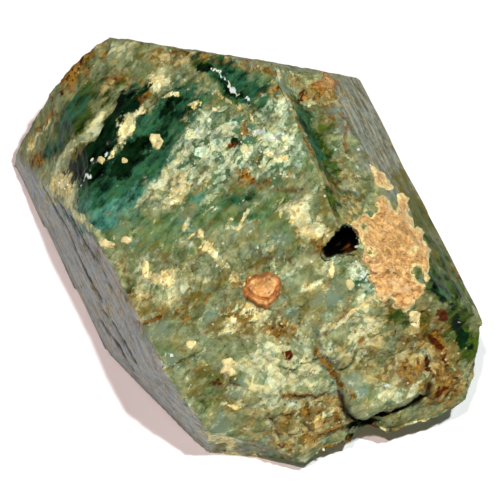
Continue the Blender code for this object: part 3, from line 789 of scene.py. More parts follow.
def line_share(points, lines, wobble, half_width):
    """1 in the middle of a line and 0 away from all of them."""
    x, y = in_frame(points)
    x = x + wobble * fractal(points / 2.0, 2, 61)
    y = y + wobble * fractal(points / 2.0, 2, 67)
    gaps = [distance_to_path(x, y, path) for path in lines.values()]
    return 1.0 - smooth_step(UNIT * np.min(gaps, axis=0), 0.2 * half_width, half_width)


def shifted_frame(points):
    """(x, y) of each point in frame units, shifted about so that the marks have uneven edges."""
    x, y = in_frame(points)
    for size, reach, seed in WARPS:
        x = x + reach * fractal(points / size, 2, seed)
        y = y + reach * fractal(points / size, 2, seed + 5)
    return x, y


def colour_masks(points, x, y, seen):
    """How strongly each kind of colour shows at each point, from 0 to about 1."""
    grown = face_share(points, {name: 1.0 for name, face in FACES.items() if face[2] == GROWN})
    strengths = {kind: mark_strength(x, y, marks) for kind, marks in MARKS.items()}
    glassy = np.max([strengths[kind] for kind in GLASSY_KINDS], axis=0)
    masks = {"ash": face_share(points, ASHEN)}
    for order, (kind, strength) in enumerate(strengths.items()):
        near_broken, near_grown, size, away_broken, away_grown = BETWEEN_MARKS[kind]
        near = blend(near_broken, near_grown, grown)
        if kind in CRUMBLY_KINDS:
            near = near - GLASSY_CLEARING * smooth_step(glassy, 0.35, 0.7)
        away = blend(away_broken, away_grown, grown)
        away = away + UNSEEN_VARIATION * fractal(points / size, 3, 101 + 7 * order)
        masks[kind] = seen * np.maximum(near, strength) + (1.0 - seen) * away
    return masks


def line_masks(points, facing, ash):
    """How strongly the cracks of the grey faces and the brown seams show at each point."""
    broken_up = fractal(points / 1.3, 2, 71)
    cracks = line_share(points, CRACKS, CRACK_WOBBLE, CRACK_HALF_WIDTH)
    seams = line_share(points, SEAMS, SEAM_WOBBLE, SEAM_HALF_WIDTH)
    return {
        "crack": cracks * smooth_step(broken_up, -1.0, -0.3) * facing * ash,
        "seam": seams * smooth_step(broken_up, -0.5, 0.3) * facing,
    }


def hollow_shade_masks(points, x, y, seen):
    """How strongly the painted shade and light of the hollows show at each point: the pit's painted
    black shade and lit wall, and the painted shade in the crevice and the hollow under the lump.
    """
    faces = FACES.values()
    below = np.min([distance - points @ direction for direction, distance, _ in faces], axis=0)
    hollow_shade = smooth_step(mark_strength(*in_frame(points), HOLLOW_SHADE), 0.45, 0.7)
    return {
        # Where the pit is painted as black shade, with its painted lit wall.
        "pit": smooth_step(below, *PIT_RIM),
        "pit_lit": smooth_step(mark_strength(x, y, PIT_LIT), 0.45, 0.8),
        # Painted shade in the crevice under the lump and in the hollow under its rim.
        "crevice_shade": seen * np.maximum(crevice_share(*on_sight_plane(points)), hollow_shade),
    }


def all_masks(points, normals):
    """Every mask of the crystal: its kinds of colour, its lines, and the painted shade and light of its
    hollows.
    """
    towards_eye = normals @ BACK
    seen = smooth_step(towards_eye, *MARKS_FACING)
    x, y = shifted_frame(points)
    masks = colour_masks(points, x, y, seen)
    masks.update(line_masks(points, smooth_step(towards_eye, *LINES_FACING), masks["ash"]))
    masks.update(hollow_shade_masks(points, x, y, seen))
    return masks


def overhang(h, k, height):
    """How far each point near the overhanging rim comes towards the eye."""
    gap = distance_to_path(h, k, [flat_place(*place) for place in OVERHANG])
    low_enough = smooth_step(-height, *OVERHANG_HEIGHTS)
    return OVERHANG_LIFT * (1.0 - smooth_step(gap, *OVERHANG_REACH)) * low_enough


def crystal_arrays():
    """The finished crystal: points in millimetres, faces and masks."""
    points, normals, faces = fine_crystal()
    masks = all_masks(points, normals)
    calm = smooth_step(np.maximum(masks["smooth"], masks["deep"]), *CALM_SHARES)
    h, k = on_sight_plane(points)
    move = face_relief(points, calm) + swells(h, k, OUTLINE_SWELLS)
    move -= CRACK_DEPTH * masks["crack"] + SEAM_DEPTH * masks["seam"]
    moved = points + normals * move[:, None]
    lift = overhang(h, k, points[:, 2])
    moved += np.outer(seen_relief(h, k, normals @ BACK) + lift, BACK)
    moved += np.outer(swells(h, k, RIM_NOTCHES), UP)
    resting = (points[:, 2] < 0.5 * VOXEL) & (lift < LIFTED_LEAST)
    moved[:, 2] = np.where(resting, 0.0, np.maximum(moved[:, 2], FLOOR_GAP))
    return moved, faces, masks


# Pale crumbs: their share of the pale granular points, how high over the floor they start,
# their smallest and largest radius, and how much each is stretched.
CRUMB_SHARE = 0.045
CRUMB_FLOOR = 1.0
CRUMB_SIZES = (0.14, 0.46)
CRUMB_STRETCHES = (0.6, 1.3)
CRUMB_SEED = 17
# How far the corners of crumbs and of uneven outlines are from the middle, against the usual.
CORNER_REACHES = (0.72, 1.12)


def round_form():
    """The corners and faces of a small round form."""
    mesh = bmesh.new()
    bmesh.ops.create_icosphere(mesh, subdivisions=1, radius=1.0)
    corners = np.array([vertex.co for vertex in mesh.verts])
    faces = np.array([[vertex.index for vertex in face.verts] for face in mesh.faces])
    mesh.free()
    return corners, faces


def crumb_arrays(points, masks):
    """Small uneven grains, half sunk in the granular pale parts of the crystal."""
    chance = CRUMB_SHARE * smooth_step(np.maximum(masks["mint"], masks["cream"]), 0.42, 0.75)
    spread = np.random.default_rng(CRUMB_SEED)
    spots = points[spread.random(len(points)) < chance * (points[:, 2] > CRUMB_FLOOR)]
    corners, corner_faces = round_form()
    count = len(spots)
    turns, _ = np.linalg.qr(spread.normal(size=(count, 3, 3)))
    size = blend(*CRUMB_SIZES, spread.random((count, 1, 1)) ** 2.0)
    uneven = corners * spread.uniform(*CORNER_REACHES, (count, len(corners), 1))
    stretched = uneven * spread.uniform(*CRUMB_STRETCHES, (count, 1, 3))
    grains = spots[:, None, :] + size * (stretched @ turns)
    faces = corner_faces + len(corners) * np.arange(count)[:, None, None]
    return grains.reshape(-1, 3), faces.reshape(-1, 3)


def new_piece(name, material, points, faces, masks=None):
    """A piece of the object from points in millimetres."""
    data = bpy.data.meshes.new(name)
    data.from_pydata((points + CENTRING) * MM, [], faces.tolist())
    data.materials.append(material)
    for kind, values in (masks or {}).items():
        layer = data.attributes.new(kind, "FLOAT", "POINT")
        layer.data.foreach_set("value", values.astype(np.float32))
    data.shade_smooth()
    piece = linked(name, data)
    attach(piece, "root")
    return piece


# Calcite on the crystal: outlines in frame units.
CRUST_OUTLINE = (
    (349, 225), (363, 214), (371, 216), (376, 208), (375, 196), (383, 196), (390, 206), (396, 209),
    (399, 203), (397, 193), (403, 193), (408, 200), (410, 215), (415, 227), (420, 228), (426, 241),
    (430, 250), (431, 270), (427, 280), (420, 272), (414, 278), (425, 288), (424, 293), (413, 304),
    (406, 312), (396, 308), (387, 300), (378, 300), (374, 290), (370, 280), (365, 268), (360, 260),
    (363, 247), (362, 240), (356, 232),
)
# Holes in the crust: place and radius in frame units.
CRUST_HOLES = ((364, 227, 2.2), (370, 252, 2.6), (413, 250, 2.0), (417, 271, 5.0), (389, 303, 4.0))
STRIP_OUTLINE = ((370, 165), (379, 168), (384, 174), (386, 181), (394, 190), (384, 189), (377, 184))
GRAIN_OUTLINE = (
    (243, 289), (248, 280), (257, 276), (267, 273), (276, 276), (281, 283), (279, 294), (273, 302),
    (266, 307), (258, 306), (251, 300), (245, 295),
)
GRAIN_CRACK = ((247, 289), (251, 294), (260, 298), (268, 299), (274, 295), (277, 287))
GRAIN_CRACK_DEPTH = 0.6
STAR_OUTLINE = (
    (220, 360), (226, 359), (231, 358), (236, 363), (233, 368), (236, 374), (230, 376), (227, 372),
    (221, 373), (223, 366),
)
# Flecks and the knob: place, half width and half height in frame units.
FLECKS = {
    "low_left": (191, 344, 7, 6), "left": (106, 244, 7, 4),
    "left_right": (126, 241, 6, 4), "under_crust": (415, 321, 7.5, 10),
    "below_pit": (350, 286, 4.5, 6.5), "long": (331, 271, 4, 9),
    "dark_top": (157, 141, 8, 8), "dark_left": (101, 160, 4.5, 4),
    "dark_small": (124, 161, 2.5, 2.5), "branch": (145, 271, 5, 9),
}
KNOB = (325, 82, 13, 10)
KNOB_SEED = 40
# How many corners an uneven outline has, and how far each is shifted round it.
UNEVEN_CORNERS = 9
CORNER_SHIFT = 0.3
# The grid that a plate is cut from: its step, how far it goes past the outline, and how deep.
GRID_STEP = 0.2
GRID_SKIRT = 0.5
UNDERSIDE = -0.6
# A plate's surface dips this far below the crystal's at its rim.
RIM_DIP = -0.4


def uneven_outline(x, y, half_width, half_height, seed):
    """An uneven many-sided outline around a place."""
    spread = np.random.default_rng(seed)
    outline = []
    for corner in range(UNEVEN_CORNERS):
        angle = math.tau * (corner + spread.uniform(-CORNER_SHIFT, CORNER_SHIFT)) / UNEVEN_CORNERS
        reach = spread.uniform(*CORNER_REACHES)
        across = reach * half_width * math.cos(angle)
        outline.append((x + across, y + reach * half_height * math.sin(angle)))
    return tuple(outline)


def grid_over(outline):
    """(h, k) of every point of a grid over an outline, and the grid's shape."""
    corners = np.array([flat_place(*corner) for corner in outline])
    low, high = corners.min(axis=0) - 1.0, corners.max(axis=0) + 1.0
    across = np.arange(low[0], high[0], GRID_STEP)
    up = np.arange(low[1], high[1], GRID_STEP)
    h, k = np.meshgrid(across, up)
    return h.ravel(), k.ravel(), h.shape


def dropped(tree, h, k):
    """Where the sight lines through these places meet the crystal; a row of nan where they miss."""
    hits = []
    for place in zip(h, k):
        spot = tree.ray_cast(Vector(EYE), sight_ray(*place))[0]
        hits.append(tuple(spot) if spot else (np.nan,) * 3)
    return np.array(hits)


def whole_squares(good):
    """Which squares of a grid have four good corners."""
    return (good[:-1, :-1] & good[:-1, 1:] & good[1:, 1:] & good[1:, :-1]).ravel()


def closed_plate(top, bottom, shape, kept):
    """A closed mesh between two grids of points, over the kept squares of the grid."""
    count = len(top)
    index = np.arange(count).reshape(shape)
    square = np.stack([index[:-1, :-1], index[:-1, 1:], index[1:, 1:], index[1:, :-1]], axis=2)
    square = square.reshape(-1, 4)[kept]
    edges = np.concatenate([square[:, [i, (i + 1) % 4]] for i in range(4)])
    keys = {(a, b) for a, b in edges.tolist()}
    rim = np.array([(a, b) for a, b in edges.tolist() if (b, a) not in keys])
    walls = np.stack([rim[:, 1], rim[:, 0], rim[:, 0] + count, rim[:, 1] + count], axis=1)
    faces = np.concatenate([square, square[:, ::-1] + count, walls])
    used, flat = np.unique(faces, return_inverse=True)
    return np.concatenate([top, bottom])[used], flat.reshape(-1, 4), used


def inside_plate(place, outline, ragged, holes):
    """How far each place is inside a plate's ragged rim and outside its holes."""
    h, k = place[:, 0], place[:, 1]
    inside = inside_by(h, k, outline) + ragged * fractal(place / 1.1, 3, 71)
    for x, y, radius in holes:
        centre_h, centre_k = flat_place(x, y)
        gap = np.hypot(h - centre_h, k - centre_k) - radius * UNIT
        inside = np.minimum(inside, gap + 0.25 * fractal(place / 0.7, 2, 73))
    return inside


def plate(tree, outline, height_of, ragged=0.45, holes=(), cracked=False):
    """A plate grown on the crystal: its height over the surface comes from how far in a place is."""
    h, k, shape = grid_over(outline)
    place = np.stack([h, k, np.zeros_like(h)], axis=1)
    inside = inside_plate(place, outline, ragged, holes)
    ground = dropped(tree, h, k)
    top = ground + np.outer(height_of(inside, place), BACK)
    bottom = ground + UNDERSIDE * BACK
    good = (inside > -GRID_SKIRT) & np.isfinite(ground[:, 0])
    points, faces, used = closed_plate(top, bottom, shape, whole_squares(good.reshape(shape)))
    rim = inside - 2.0 * grain_crack(place) if cracked else inside
    return points, faces, {"rim": np.concatenate([rim, rim])[used]}


def crust_height(inside, place):
    swell = 0.33 + 0.27 * fractal(place / 2.2, 3, 81)
    pits = 0.7 * smooth_step(fractal(place / 0.9, 2, 83), 0.4, 0.8)
    chips = 0.28 * facets(place, 1.5, 87) + 0.15 * fractal(place / 0.5, 1, 85)
    return RIM_DIP + smooth_step(inside, -0.35, 0.5) * (1.05 + swell + chips - pits)


def grain_crack(place):
    """1 in the middle of the crack across the grain and 0 away from it."""
    path = [flat_place(*corner) for corner in GRAIN_CRACK]
    gap = distance_to_path(place[:, 0], place[:, 1], path) + 0.12 * fractal(place / 0.7, 2, 91)
    return 1.0 - smooth_step(gap, 0.1, 0.42)


def grain_height(inside, place):
    dome = 1.5 * np.sqrt(smooth_step(inside, -0.4, 1.0)) + 0.25 * facets(place, 1.8, 89)
    unevenness = 0.12 * fractal(place / 0.9, 2, 93)
    return RIM_DIP + dome - GRAIN_CRACK_DEPTH * grain_crack(place) + unevenness


def fleck_height(inside, place):
    thickness = 0.85 + 0.2 * fractal(place / 0.8, 2, 95)
    return RIM_DIP + thickness * smooth_step(inside, -0.35, 0.35)


def knob_height(inside, place):
    dome = 1.5 * smooth_step(inside, -0.4, 1.4)
    return RIM_DIP + dome + 0.3 * fractal(place / 1.0, 2, 97)


def joined(parts):
    """Several plates as one: points, faces and masks."""
    points, faces, rims, start = [], [], [], 0
    for part_points, part_faces, masks in parts:
        points.append(part_points)
        faces.append(part_faces + start)
        rims.append(masks["rim"])
        start += len(part_points)
    return np.concatenate(points), np.concatenate(faces), {"rim": np.concatenate(rims)}


# How much of a screen colour the surface itself reflects; the lights add the rest.
ALBEDO_SHARE = 0.85
# The direction of the streaks in the glassy parts.
SLASH = 0.64 * RIGHT + 0.77 * UP


def linear(red, green, blue):
    """A colour as the screen shows it, from 0 to 255, as amounts of light."""
    shares = np.array([red, green, blue]) / 255.0
    light = np.where(shares > 0.04045, ((shares + 0.055) / 1.055) ** 2.4, shares / 12.92)
    return (*(light * ALBEDO_SHARE), 1.0)


def give(socket, value):
    """Sets a node's input to a value, or links another node's output to it."""
    if isinstance(value, bpy.types.NodeSocket):
        socket.id_data.links.new(value, socket)
    else:
        socket.default_value = value


def new_node(tree, kind, inputs, **settings):
    """A new node with its settings and inputs."""
    node = tree.nodes.new(kind)
    for name, value in settings.items():
        setattr(node, name, value)
    for name, value in inputs.items():
        give(node.inputs[name], value)
    return node


class Material:
    """A material whose nodes are added one after another."""

    def __init__(self, name):
        self.data = bpy.data.materials.new(name)
        self.data.use_nodes = True
        self.tree = self.data.node_tree
        self.shader = self.tree.nodes["Principled BSDF"]
        self.place = self.tree.nodes.new("ShaderNodeTexCoord").outputs["Object"]

    def node(self, kind, inputs, **settings):
        return new_node(self.tree, kind, inputs, **settings)

    def mask(self, name):
        return self.node("ShaderNodeAttribute", {}, attribute_name=name).outputs["Fac"]

    def math(self, operation, first, second=0.0, third=0.0):
        inputs = {0: first, 1: second, 2: third}
        return self.node("ShaderNodeMath", inputs, operation=operation).outputs[0]

    def times(self, first, second):
        return self.math("MULTIPLY", first, second)

    def plus(self, base, value, scale):
        """A base with a scaled value added to it."""
        return self.math("MULTIPLY_ADD", value, scale, base)

    def rest(self, share):
        """What a share leaves of 1."""
        return self.math("SUBTRACT", 1.0, share)

    def parts(self, colour):
        """The three numbers of a colour."""
        return self.node("ShaderNodeSeparateColor", {"Color": colour}).outputs

    def noise_node(self, size, detail, roughness, place):
        """Noise with patches of a size in millimetres."""
        inputs = {
            "Vector": place or self.place, "Scale": 1.0 / (size * MM), "Detail": detail,
            "Roughness": roughness,
        }
        return self.node("ShaderNodeTexNoise", inputs)

    def noise(self, size, detail=4.0, roughness=0.6):
        return self.noise_node(size, detail, roughness, None).outputs["Fac"]

    def three_noises(self, size, detail, roughness, place=None):
        return self.parts(self.noise_node(size, detail, roughness, place).outputs["Color"])

    def cells(self, size):
        """The node of a cell pattern, of a size in millimetres."""
        return self.node("ShaderNodeTexVoronoi", {"Vector": self.place, "Scale": 1.0 / (size * MM)})

    def step(self, value, low, high, start=0.0, end=1.0):
        inputs = {"Value": value, "From Min": low, "From Max": high, "To Min": start, "To Max": end}
        return self.node("ShaderNodeMapRange", inputs, interpolation_type="SMOOTHSTEP").outputs[0]

    def mix(self, share, first, second, blend_type="MIX"):
        inputs = {0: share, 6: first, 7: second}
        return self.node("ShaderNodeMix", inputs, data_type="RGBA", blend_type=blend_type).outputs[2]

    def multiplied(self, colour, tint):
        return self.mix(1.0, colour, tint, "MULTIPLY")

    def vector(self, operation, first, second):
        return self.node("ShaderNodeVectorMath", {0: first, 1: second}, operation=operation)

    def drawn_out(self, direction, ratio):
        """The place with one direction drawn out, for streaks."""
        along = Vector(direction).normalized()
        across = along.orthogonal().normalized()
        axes = (along / ratio, across, along.cross(across))
        parts = [self.vector("DOT_PRODUCT", self.place, axis).outputs["Value"] for axis in axes]
        return self.node("ShaderNodeCombineXYZ", dict(enumerate(parts))).outputs[0]

    def facets(self, size):
        """The height of flat leaning facets, one for each cell, and three numbers of its own."""
        pattern = self.cells(size)
        own = pattern.outputs["Color"]
        inside = self.vector("SUBTRACT", self.place, pattern.outputs["Position"]).outputs[0]
        lean = self.vector("SUBTRACT", own, (0.5, 0.5, 0.5)).outputs[0]
        height = self.vector("DOT_PRODUCT", inside, lean).outputs["Value"]
        return self.times(height, 1.0 / (size * MM)), self.parts(own)

    def bump(self, height, depth, normal=None):
        """A bump of a depth in millimetres."""
        inputs = {"Height": height, "Distance": depth * MM, "Strength": 1.0}
        if normal is not None:
            inputs["Normal"] = normal
        return self.node("ShaderNodeBump", inputs).outputs["Normal"]

    def finish(self, colour, roughness, normal, shine):
        inputs = {
            "Base Color": colour, "Roughness": roughness, "Normal": normal, "Specular IOR Level": shine,
        }
        for name, value in inputs.items():
            give(self.shader.inputs[name], value)
        return self.data


# Each kind of colour: what decides between its darker and its lighter parts, or a fixed share
# where it is even, and then both colours, as the screen shows them.
PALETTE = {
    "base": ("soft", (94, 108, 64), (160, 166, 120)),
    "tan": ("crumbly", (124, 100, 46), (204, 188, 126)),
    "ash": ("lined", (144, 148, 144), (196, 199, 196)),
    "slate": ("lined", (84, 88, 66), (166, 166, 146)),
    "green": ("streaky", (48, 82, 40), (118, 144, 92)),
    "olive": (0.2, (84, 80, 26), (150, 140, 70)),
    "blue_grey": (0.2, (104, 122, 98), (158, 172, 142)),
    "teal": ("streaky", (10, 62, 54), (92, 156, 132)),
    "moss": ("streaky", (8, 36, 0), (78, 100, 32)),
    "pale": ("crumbly", (142, 152, 104), (222, 224, 176)),
    "mint": ("crumbly", (76, 112, 74), (226, 242, 200)),
    "deep": ("streaky", (4, 30, 16), (58, 112, 76)),
    "dark": ("streaky", (0, 3, 0), (16, 46, 22)),
    "stain": ("gritty", (44, 28, 2), (168, 126, 50)),
    "cream": ("gritty", (176, 162, 98), (252, 242, 184)),
    "maroon": ("gritty", (40, 10, 0), (100, 44, 4)),
    # Painted glints: near-white painted highlights.
    "painted_glint": (0.08, (214, 224, 210), (255, 255, 250)),
}
# The kinds in the order they are painted: the patch size of the noise that breaks up their
# edges, which of its three parts that is, and how soft the edges are.
PAINTED = {
    "tan": (4.0, 1, 0.2), "slate": (4.0, 2, 0.2), "green": (4.0, 0, 0.2), "olive": (4.0, 1, 0.2),
    "blue_grey": (4.0, 2, 0.2), "teal": (2.6, 0, 0.2), "moss": (2.6, 1, 0.2), "pale": (2.6, 0, 0.2),
    "mint": (2.6, 2, 0.22), "deep": (1.9, 2, 0.2), "dark": (1.9, 0, 0.1), "stain": (1.9, 1, 0.2),
    # The painted glints come last, over every other kind.
    "cream": (1.9, 2, 0.1), "maroon": (1.2, 0, 0.08), "painted_glint": (1.2, 1, 0.08),
}
EDGE_NOISE = 2.0
# How glassy each kind with a gloss is, where the dark kind is 1.
GLOSS = {"teal": 0.85, "deep": 0.9, "moss": 0.7, "blue_grey": 0.6}
STONE_SHINE = 0.04


class Stone(Material):
    """The mottled apatite, with the noises and facets that its colours and bumps share."""

    def __init__(self):
        super().__init__("mottled_apatite")
        self.fine = self.three_noises(0.8, 4.0, 0.75)
        self.middle = self.three_noises(2.4, 5.0, 0.65)
        self.small_height, self.small = self.facets(0.8)
        self.large_height, self.large = self.facets(2.3)
        fabric = self.drawn_out(SLASH, 1.7)
        sizes = dict.fromkeys(size for size, _, _ in PAINTED.values())
        self.patches = {size: self.three_noises(size, 6.0, 0.7, fabric) for size in sizes}
        self.textures = {
            "soft": self.step(self.plus(self.middle[2], self.fine[0], 0.35), 0.5, 0.85),
            "crumbly": self.crumbly(), "gritty": self.gritty(), "streaky": self.streaky(),
            "lined": self.lined(),
        }

    def crumbly(self):
        total = self.plus(self.times(self.fine[0], 0.4), self.small[0], 0.45)
        total = self.plus(total, self.large[0], 0.5)
        return self.step(self.plus(total, self.middle[0], 0.7), 0.72, 1.3)

    def gritty(self):
        total = self.plus(self.fine[2], self.small[2], 0.35)
        return self.step(self.plus(total, self.middle[2], 0.5), 0.6, 1.2)

    def streaky(self):
        streaks = self.three_noises(1.9, 4.0, 0.65, self.drawn_out(SLASH, 3.5))
        return self.step(self.plus(streaks[0], self.middle[1], 0.8), 0.66, 1.14)

    def lined(self):
        lines = self.three_noises(1.0, 4.0, 0.7, self.drawn_out((0.0, 1.0, 0.0), 6.0))
        return self.step(self.plus(lines[0], self.fine[1], 0.6), 0.6, 1.0)

    def tint(self, kind):
        texture, low, high = PALETTE[kind]
        return self.mix(self.textures.get(texture, texture), linear(*low), linear(*high))

    def painted(self):
        """The colour with every kind painted over the last, and where each kind shows."""
        colour = self.mix(self.mask("ash"), self.tint("base"), self.tint("ash"))
        shown = {}
        for kind, (size, part, softness) in PAINTED.items():
            unevenness = self.plus(-0.5 * EDGE_NOISE, self.patches[size][part], EDGE_NOISE)
            strength = self.math("ADD", self.mask(kind), unevenness)
            shown[kind] = self.step(strength, 0.5 - softness, 0.5 + softness)
            colour = self.mix(shown[kind], colour, self.tint(kind))
        return colour, shown

    def glassiness(self, shown):
        glassy = shown["dark"]
        for kind, share in GLOSS.items():
            glassy = self.math("MAXIMUM", glassy, self.times(shown[kind], share))
        return glassy

    def granularity(self, glassy):
        """1 on granular stone, and less where it is glassy or smooth."""
        calm = self.plus(self.math("ADD", self.mask("smooth"), -0.4), self.patches[4.0][0], 0.8)
        return self.rest(self.math("MAXIMUM", glassy, self.step(calm, 0.3, 0.6, 0.0, 0.9)))

    def with_veins(self, colour, stone):
        """Rusty veins over a colour, where the stone is granular."""
        off_line = self.math("ABSOLUTE", self.math("SUBTRACT", self.noise(5.0, 3.0, 0.6), 0.5))
        vein = self.step(off_line, 0.0, 0.02, 0.7, 0.0)
        vein = self.times(vein, self.step(self.patches[2.6][0], 0.45, 0.6))
        return self.mix(self.times(vein, stone), colour, linear(104, 76, 26))

    def with_specks(self, colour, stone):
        """Dark specks and pale sparkling grains over a colour, where the stone is granular."""
        pattern = self.cells(1.1)
        own = self.parts(pattern.outputs["Color"])
        spot = self.step(self.plus(pattern.outputs["Distance"], self.fine[2], 0.3), 0.28, 0.42, 1.0, 0.0)
        dark = self.times(spot, self.step(own[0], 0.75, 0.85, 0.0, 0.75))
        colour = self.mix(self.times(dark, stone), colour, linear(46, 44, 16))
        pale = self.times(spot, self.step(own[1], 0.86, 0.93, 0.0, 0.7))
        return self.mix(self.times(pale, stone), colour, linear(236, 234, 196))

    def with_hues(self, colour):
        """Bluer and yellower patches in a colour."""
        hue = self.step(self.middle[0], 0.38, 0.62)
        tint = self.mix(hue, (0.78, 1.0, 1.18, 1.0), (1.1, 1.0, 0.74, 1.0))
        patches = self.step(self.patches[1.9][2], 0.35, 0.65)
        return self.mix(patches, colour, self.multiplied(colour, tint))

    def with_facets(self, colour, stone):
        """Each facet a little lighter or darker than the next, where the stone is granular."""
        tone = self.plus(self.times(self.small[1], 0.4), self.large[1], 0.6)
        tone = self.step(tone, 0.1, 0.9, 0.74, 1.2)
        return self.mix(self.times(stone, 0.9), colour, self.multiplied(colour, tone))

    def with_lines(self, colour):
        """The seams, the cracks, and the painted shade of the crevice and the hollow under the lump,
        over a colour.
        """
        brown = self.mix(self.textures["gritty"], linear(54, 32, 10), linear(128, 84, 34))
        colour = self.mix(self.times(self.mask("seam"), 0.85), colour, brown)
        colour = self.mix(self.times(self.mask("crack"), 0.95), colour, linear(46, 40, 34))
        # Painted shade: the crevice and the hollow under the lump go near-black brown, with some brown
        # stain in the crevice.
        return self.mix(self.times(self.mask("crevice_shade"), 0.9), colour, linear(38, 22, 6))

    def with_pit_shade(self, colour):
        """The pit: painted black shade, with a painted lit brown wall where light reaches it."""
        wall = self.mix(self.textures["crumbly"], linear(40, 20, 6), linear(168, 104, 40))
        inside = self.mix(self.mask("pit_lit"), linear(4, 2, 1), wall)
        return self.mix(self.mask("pit"), colour, inside)

    def bumps(self, granular, stone):
        normal = self.bump(self.times(self.large_height, stone), 0.5)
        low_grain = self.math("MAXIMUM", granular, 0.15)
        normal = self.bump(self.times(self.small_height, low_grain), 0.3, normal)
        return self.bump(self.times(self.fine[1], granular), 0.15, normal)


def apatite_material():
    mat = Stone()
    colour, shown = mat.painted()
    glassy = mat.glassiness(shown)
    granular = mat.granularity(glassy)
    stone = mat.times(granular, mat.rest(mat.mask("ash")))
    colour = mat.with_specks(mat.with_veins(colour, stone), stone)
    colour = mat.with_facets(mat.with_hues(colour), stone)
    colour = mat.with_pit_shade(mat.with_lines(colour))
    roughness = mat.plus(0.5, glassy, -0.3)
    return mat.finish(colour, roughness, mat.bumps(granular, stone), STONE_SHINE)


# Calcite colours: low, middle and high parts, and the rim, as the screen shows them.
CALCITES = {
    "tan_calcite": ((164, 110, 46), (218, 170, 100), (244, 208, 148), (248, 230, 160)),
    "orange_grain": ((206, 142, 76), (230, 174, 100), (246, 208, 144), (170, 104, 48)),
    "cream_calcite": ((238, 218, 144), (250, 236, 164), (255, 248, 190), (250, 236, 168)),
    "brown_knob": ((140, 92, 34), (206, 162, 90), (236, 204, 140), (160, 104, 44)),
}


def calcite_material(name):
    mat = Material(name)
    low, middle, high, rim = (linear(*colour) for colour in CALCITES[name])
    tone = mat.three_noises(1.3, 6.0, 0.75)
    broad = mat.three_noises(3.4, 5.0, 0.65)
    grain = mat.parts(mat.cells(0.45).outputs["Color"])
    colour = mat.mix(mat.step(tone[0], 0.36, 0.52), low, middle)
    colour = mat.mix(mat.step(broad[0], 0.5, 0.64, 0.0, 0.85), colour, high)
    colour = mat.mix(mat.step(tone[1], 0.48, 0.62, 0.0, 0.8), colour, high)
    colour = mat.mix(mat.step(grain[0], 0.0, 1.0, 0.0, 0.3), colour, low)
    colour = mat.mix(mat.step(grain[1], 0.6, 1.0, 0.0, 0.4), colour, rim)
    edge = mat.math("ADD", mat.mask("rim"), mat.plus(-0.8, tone[2], 1.6))
    colour = mat.mix(mat.step(edge, 0.2, 0.8, 0.9, 0.0), colour, rim)
    large_height, large = mat.facets(1.4)
    colour = mat.multiplied(colour, mat.step(large[1], 0.0, 1.0, 0.76, 1.12))
    specks = mat.times(mat.step(grain[2], 0.9, 0.95), mat.step(tone[1], 0.45, 0.55))
    colour = mat.mix(mat.times(specks, 0.7), colour, linear(96, 62, 30))
    small_height, _ = mat.facets(0.5)
    normal = mat.bump(small_height, 0.12, mat.bump(large_height, 0.35))
    normal = mat.bump(tone[0], 0.14, normal)
    return mat.finish(colour, mat.step(tone[1], 0.2, 0.8, 0.5, 0.75), normal, 0.25)


def crumb_material():
    mat = Material("pale_grains")
    _, own = mat.facets(0.6)
    broad = mat.three_noises(3.0, 3.0, 0.6)
    colour = mat.mix(mat.step(broad[0], 0.4, 0.6), linear(150, 176, 138), linear(206, 196, 144))
    colour = mat.mix(mat.step(own[0], 0.2, 1.0), colour, linear(244, 248, 222))
    colour = mat.mix(mat.step(own[1], 0.75, 0.95, 0.0, 0.7), colour, linear(110, 104, 54))
    normal = mat.bump(mat.noise(0.25), 0.03)
    return mat.finish(colour, mat.step(own[2], 0.0, 1.0, 0.12, 0.4), normal, 0.5)


def floor_material():
    mat = Material("white_card")
    tone = mat.noise(60.0, 2.0)
    colour = mat.mix(mat.step(tone, 0.3, 0.7), (0.86, 0.855, 0.85, 1.0), (0.9, 0.9, 0.9, 1.0))
    normal = mat.bump(mat.noise(0.5, 2.0), 0.02)
    return mat.finish(colour, mat.step(tone, 0.3, 0.7, 0.75, 0.85), normal, 0.2)


# The floor: half its width, and its level just under the crystal, in metres.
FLOOR_SIZE = 3.0
FLOOR_HEIGHT = -0.00005
# Lights: place in millimetres, size, power in watts and colour.
LIGHTS = {
    "lamp": ((91.0, -173.0, 610.0), 26.0, 3.5, (0.95, 1.0, 1.0)),
    "flash": ((-107.0, -154.0, 612.0), 26.0, 2.35, (1.0, 0.78, 0.76)),
}
LIT_POINT = (0.0, 0.0, 15.0)
# The sky: its colour, how high it is when it stops fading, and its strength low down and above.
SKY_COLOUR = (1.0, 0.96, 0.95, 1.0)
SKY_FADE = {"From Min": 0.0, "From Max": 0.5, "To Min": 0.36, "To Max": 0.03}


def make_floor():
    mesh = bmesh.new()
    bmesh.ops.create_grid(mesh, x_segments=8, y_segments=8, size=FLOOR_SIZE)
    floor = mesh_object("floor", mesh)
    floor.data.materials.append(floor_material())
    floor.location.z = FLOOR_HEIGHT


def aim(obj, place, target):
    """Puts an object at a place in millimetres, looking at a target."""
    obj.location = Vector(place) * MM
    look = Vector(target) - Vector(place)
    obj.rotation_euler = look.to_track_quat("-Z", "Y").to_euler()


def make_lights():
    for name, (place, size, power, colour) in LIGHTS.items():
        data = bpy.data.lights.new(name, "AREA")
        data.shape = "DISK"
        data.size = size * MM
        data.energy = power
        data.color = colour
        aim(linked(name, data), place, LIT_POINT)


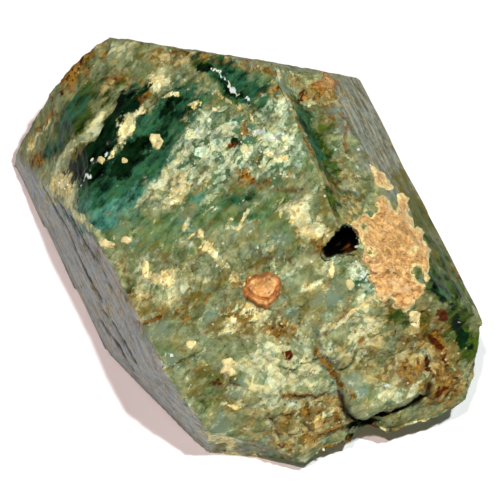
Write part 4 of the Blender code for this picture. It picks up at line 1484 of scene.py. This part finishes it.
def make_world():
    """Pale light from all round, brighter near the horizon than overhead."""
    world = bpy.data.worlds.new("studio")
    world.use_nodes = True
    tree = world.node_tree
    place = tree.nodes.new("ShaderNodeTexCoord").outputs["Generated"]
    height = new_node(tree, "ShaderNodeSeparateXYZ", {0: place}).outputs["Z"]
    inputs = {"Value": height, **SKY_FADE}
    fade = new_node(tree, "ShaderNodeMapRange", inputs, interpolation_type="SMOOTHSTEP")
    give(tree.nodes["Background"].inputs["Strength"], fade.outputs[0])
    give(tree.nodes["Background"].inputs["Color"], SKY_COLOUR)
    bpy.context.scene.world = world


def make_camera():
    data = bpy.data.cameras.new("camera")
    data.lens = LENS
    data.sensor_width = SENSOR
    data.clip_start = 0.01
    data.clip_end = 20.0
    camera = linked("camera", data)
    aim(camera, EYE + CENTRING, SIGHT_CENTRE + CENTRING)
    bpy.context.scene.camera = camera
    bpy.context.scene.view_settings.view_transform = "Standard"


def make_calcite(tree):
    """The crust, the strip, the grain, the flecks and the knob, laid on the crystal's surface."""
    tan, orange, cream, brown = (calcite_material(name) for name in CALCITES)
    crust = new_piece("crust", tan, *plate(tree, CRUST_OUTLINE, crust_height, holes=CRUST_HOLES))
    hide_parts("calcite_crust")
    strip = new_piece("strip", tan, *plate(tree, STRIP_OUTLINE, fleck_height))
    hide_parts("calcite_strip")
    grain_plate = plate(tree, GRAIN_OUTLINE, grain_height, ragged=0.2, cracked=True)
    grain = new_piece("grain", orange, *grain_plate)
    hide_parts("calcite_grain")
    parts = [plate(tree, STAR_OUTLINE, fleck_height, ragged=0.2)]
    for order, fleck in enumerate(FLECKS.values()):
        parts.append(plate(tree, uneven_outline(*fleck, order), fleck_height, ragged=0.25))
    flecks = new_piece("cream_flecks", cream, *joined(parts))
    knob = new_piece("far_knob", brown, *plate(tree, uneven_outline(*KNOB, KNOB_SEED), knob_height))


def main():
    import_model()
    points, faces, masks = crystal_arrays()
    crystal = new_piece("crystal", apatite_material(), points, faces, masks)
    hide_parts("apatite_crystal")
    crumbs = new_piece("pale_crumbs", crumb_material(), *crumb_arrays(points, masks))
    crumbs.data.shade_flat()
    make_calcite(BVHTree.FromPolygons(points.tolist(), faces.tolist()))
    make_floor()
    make_lights()
    make_world()
    make_camera()


main()
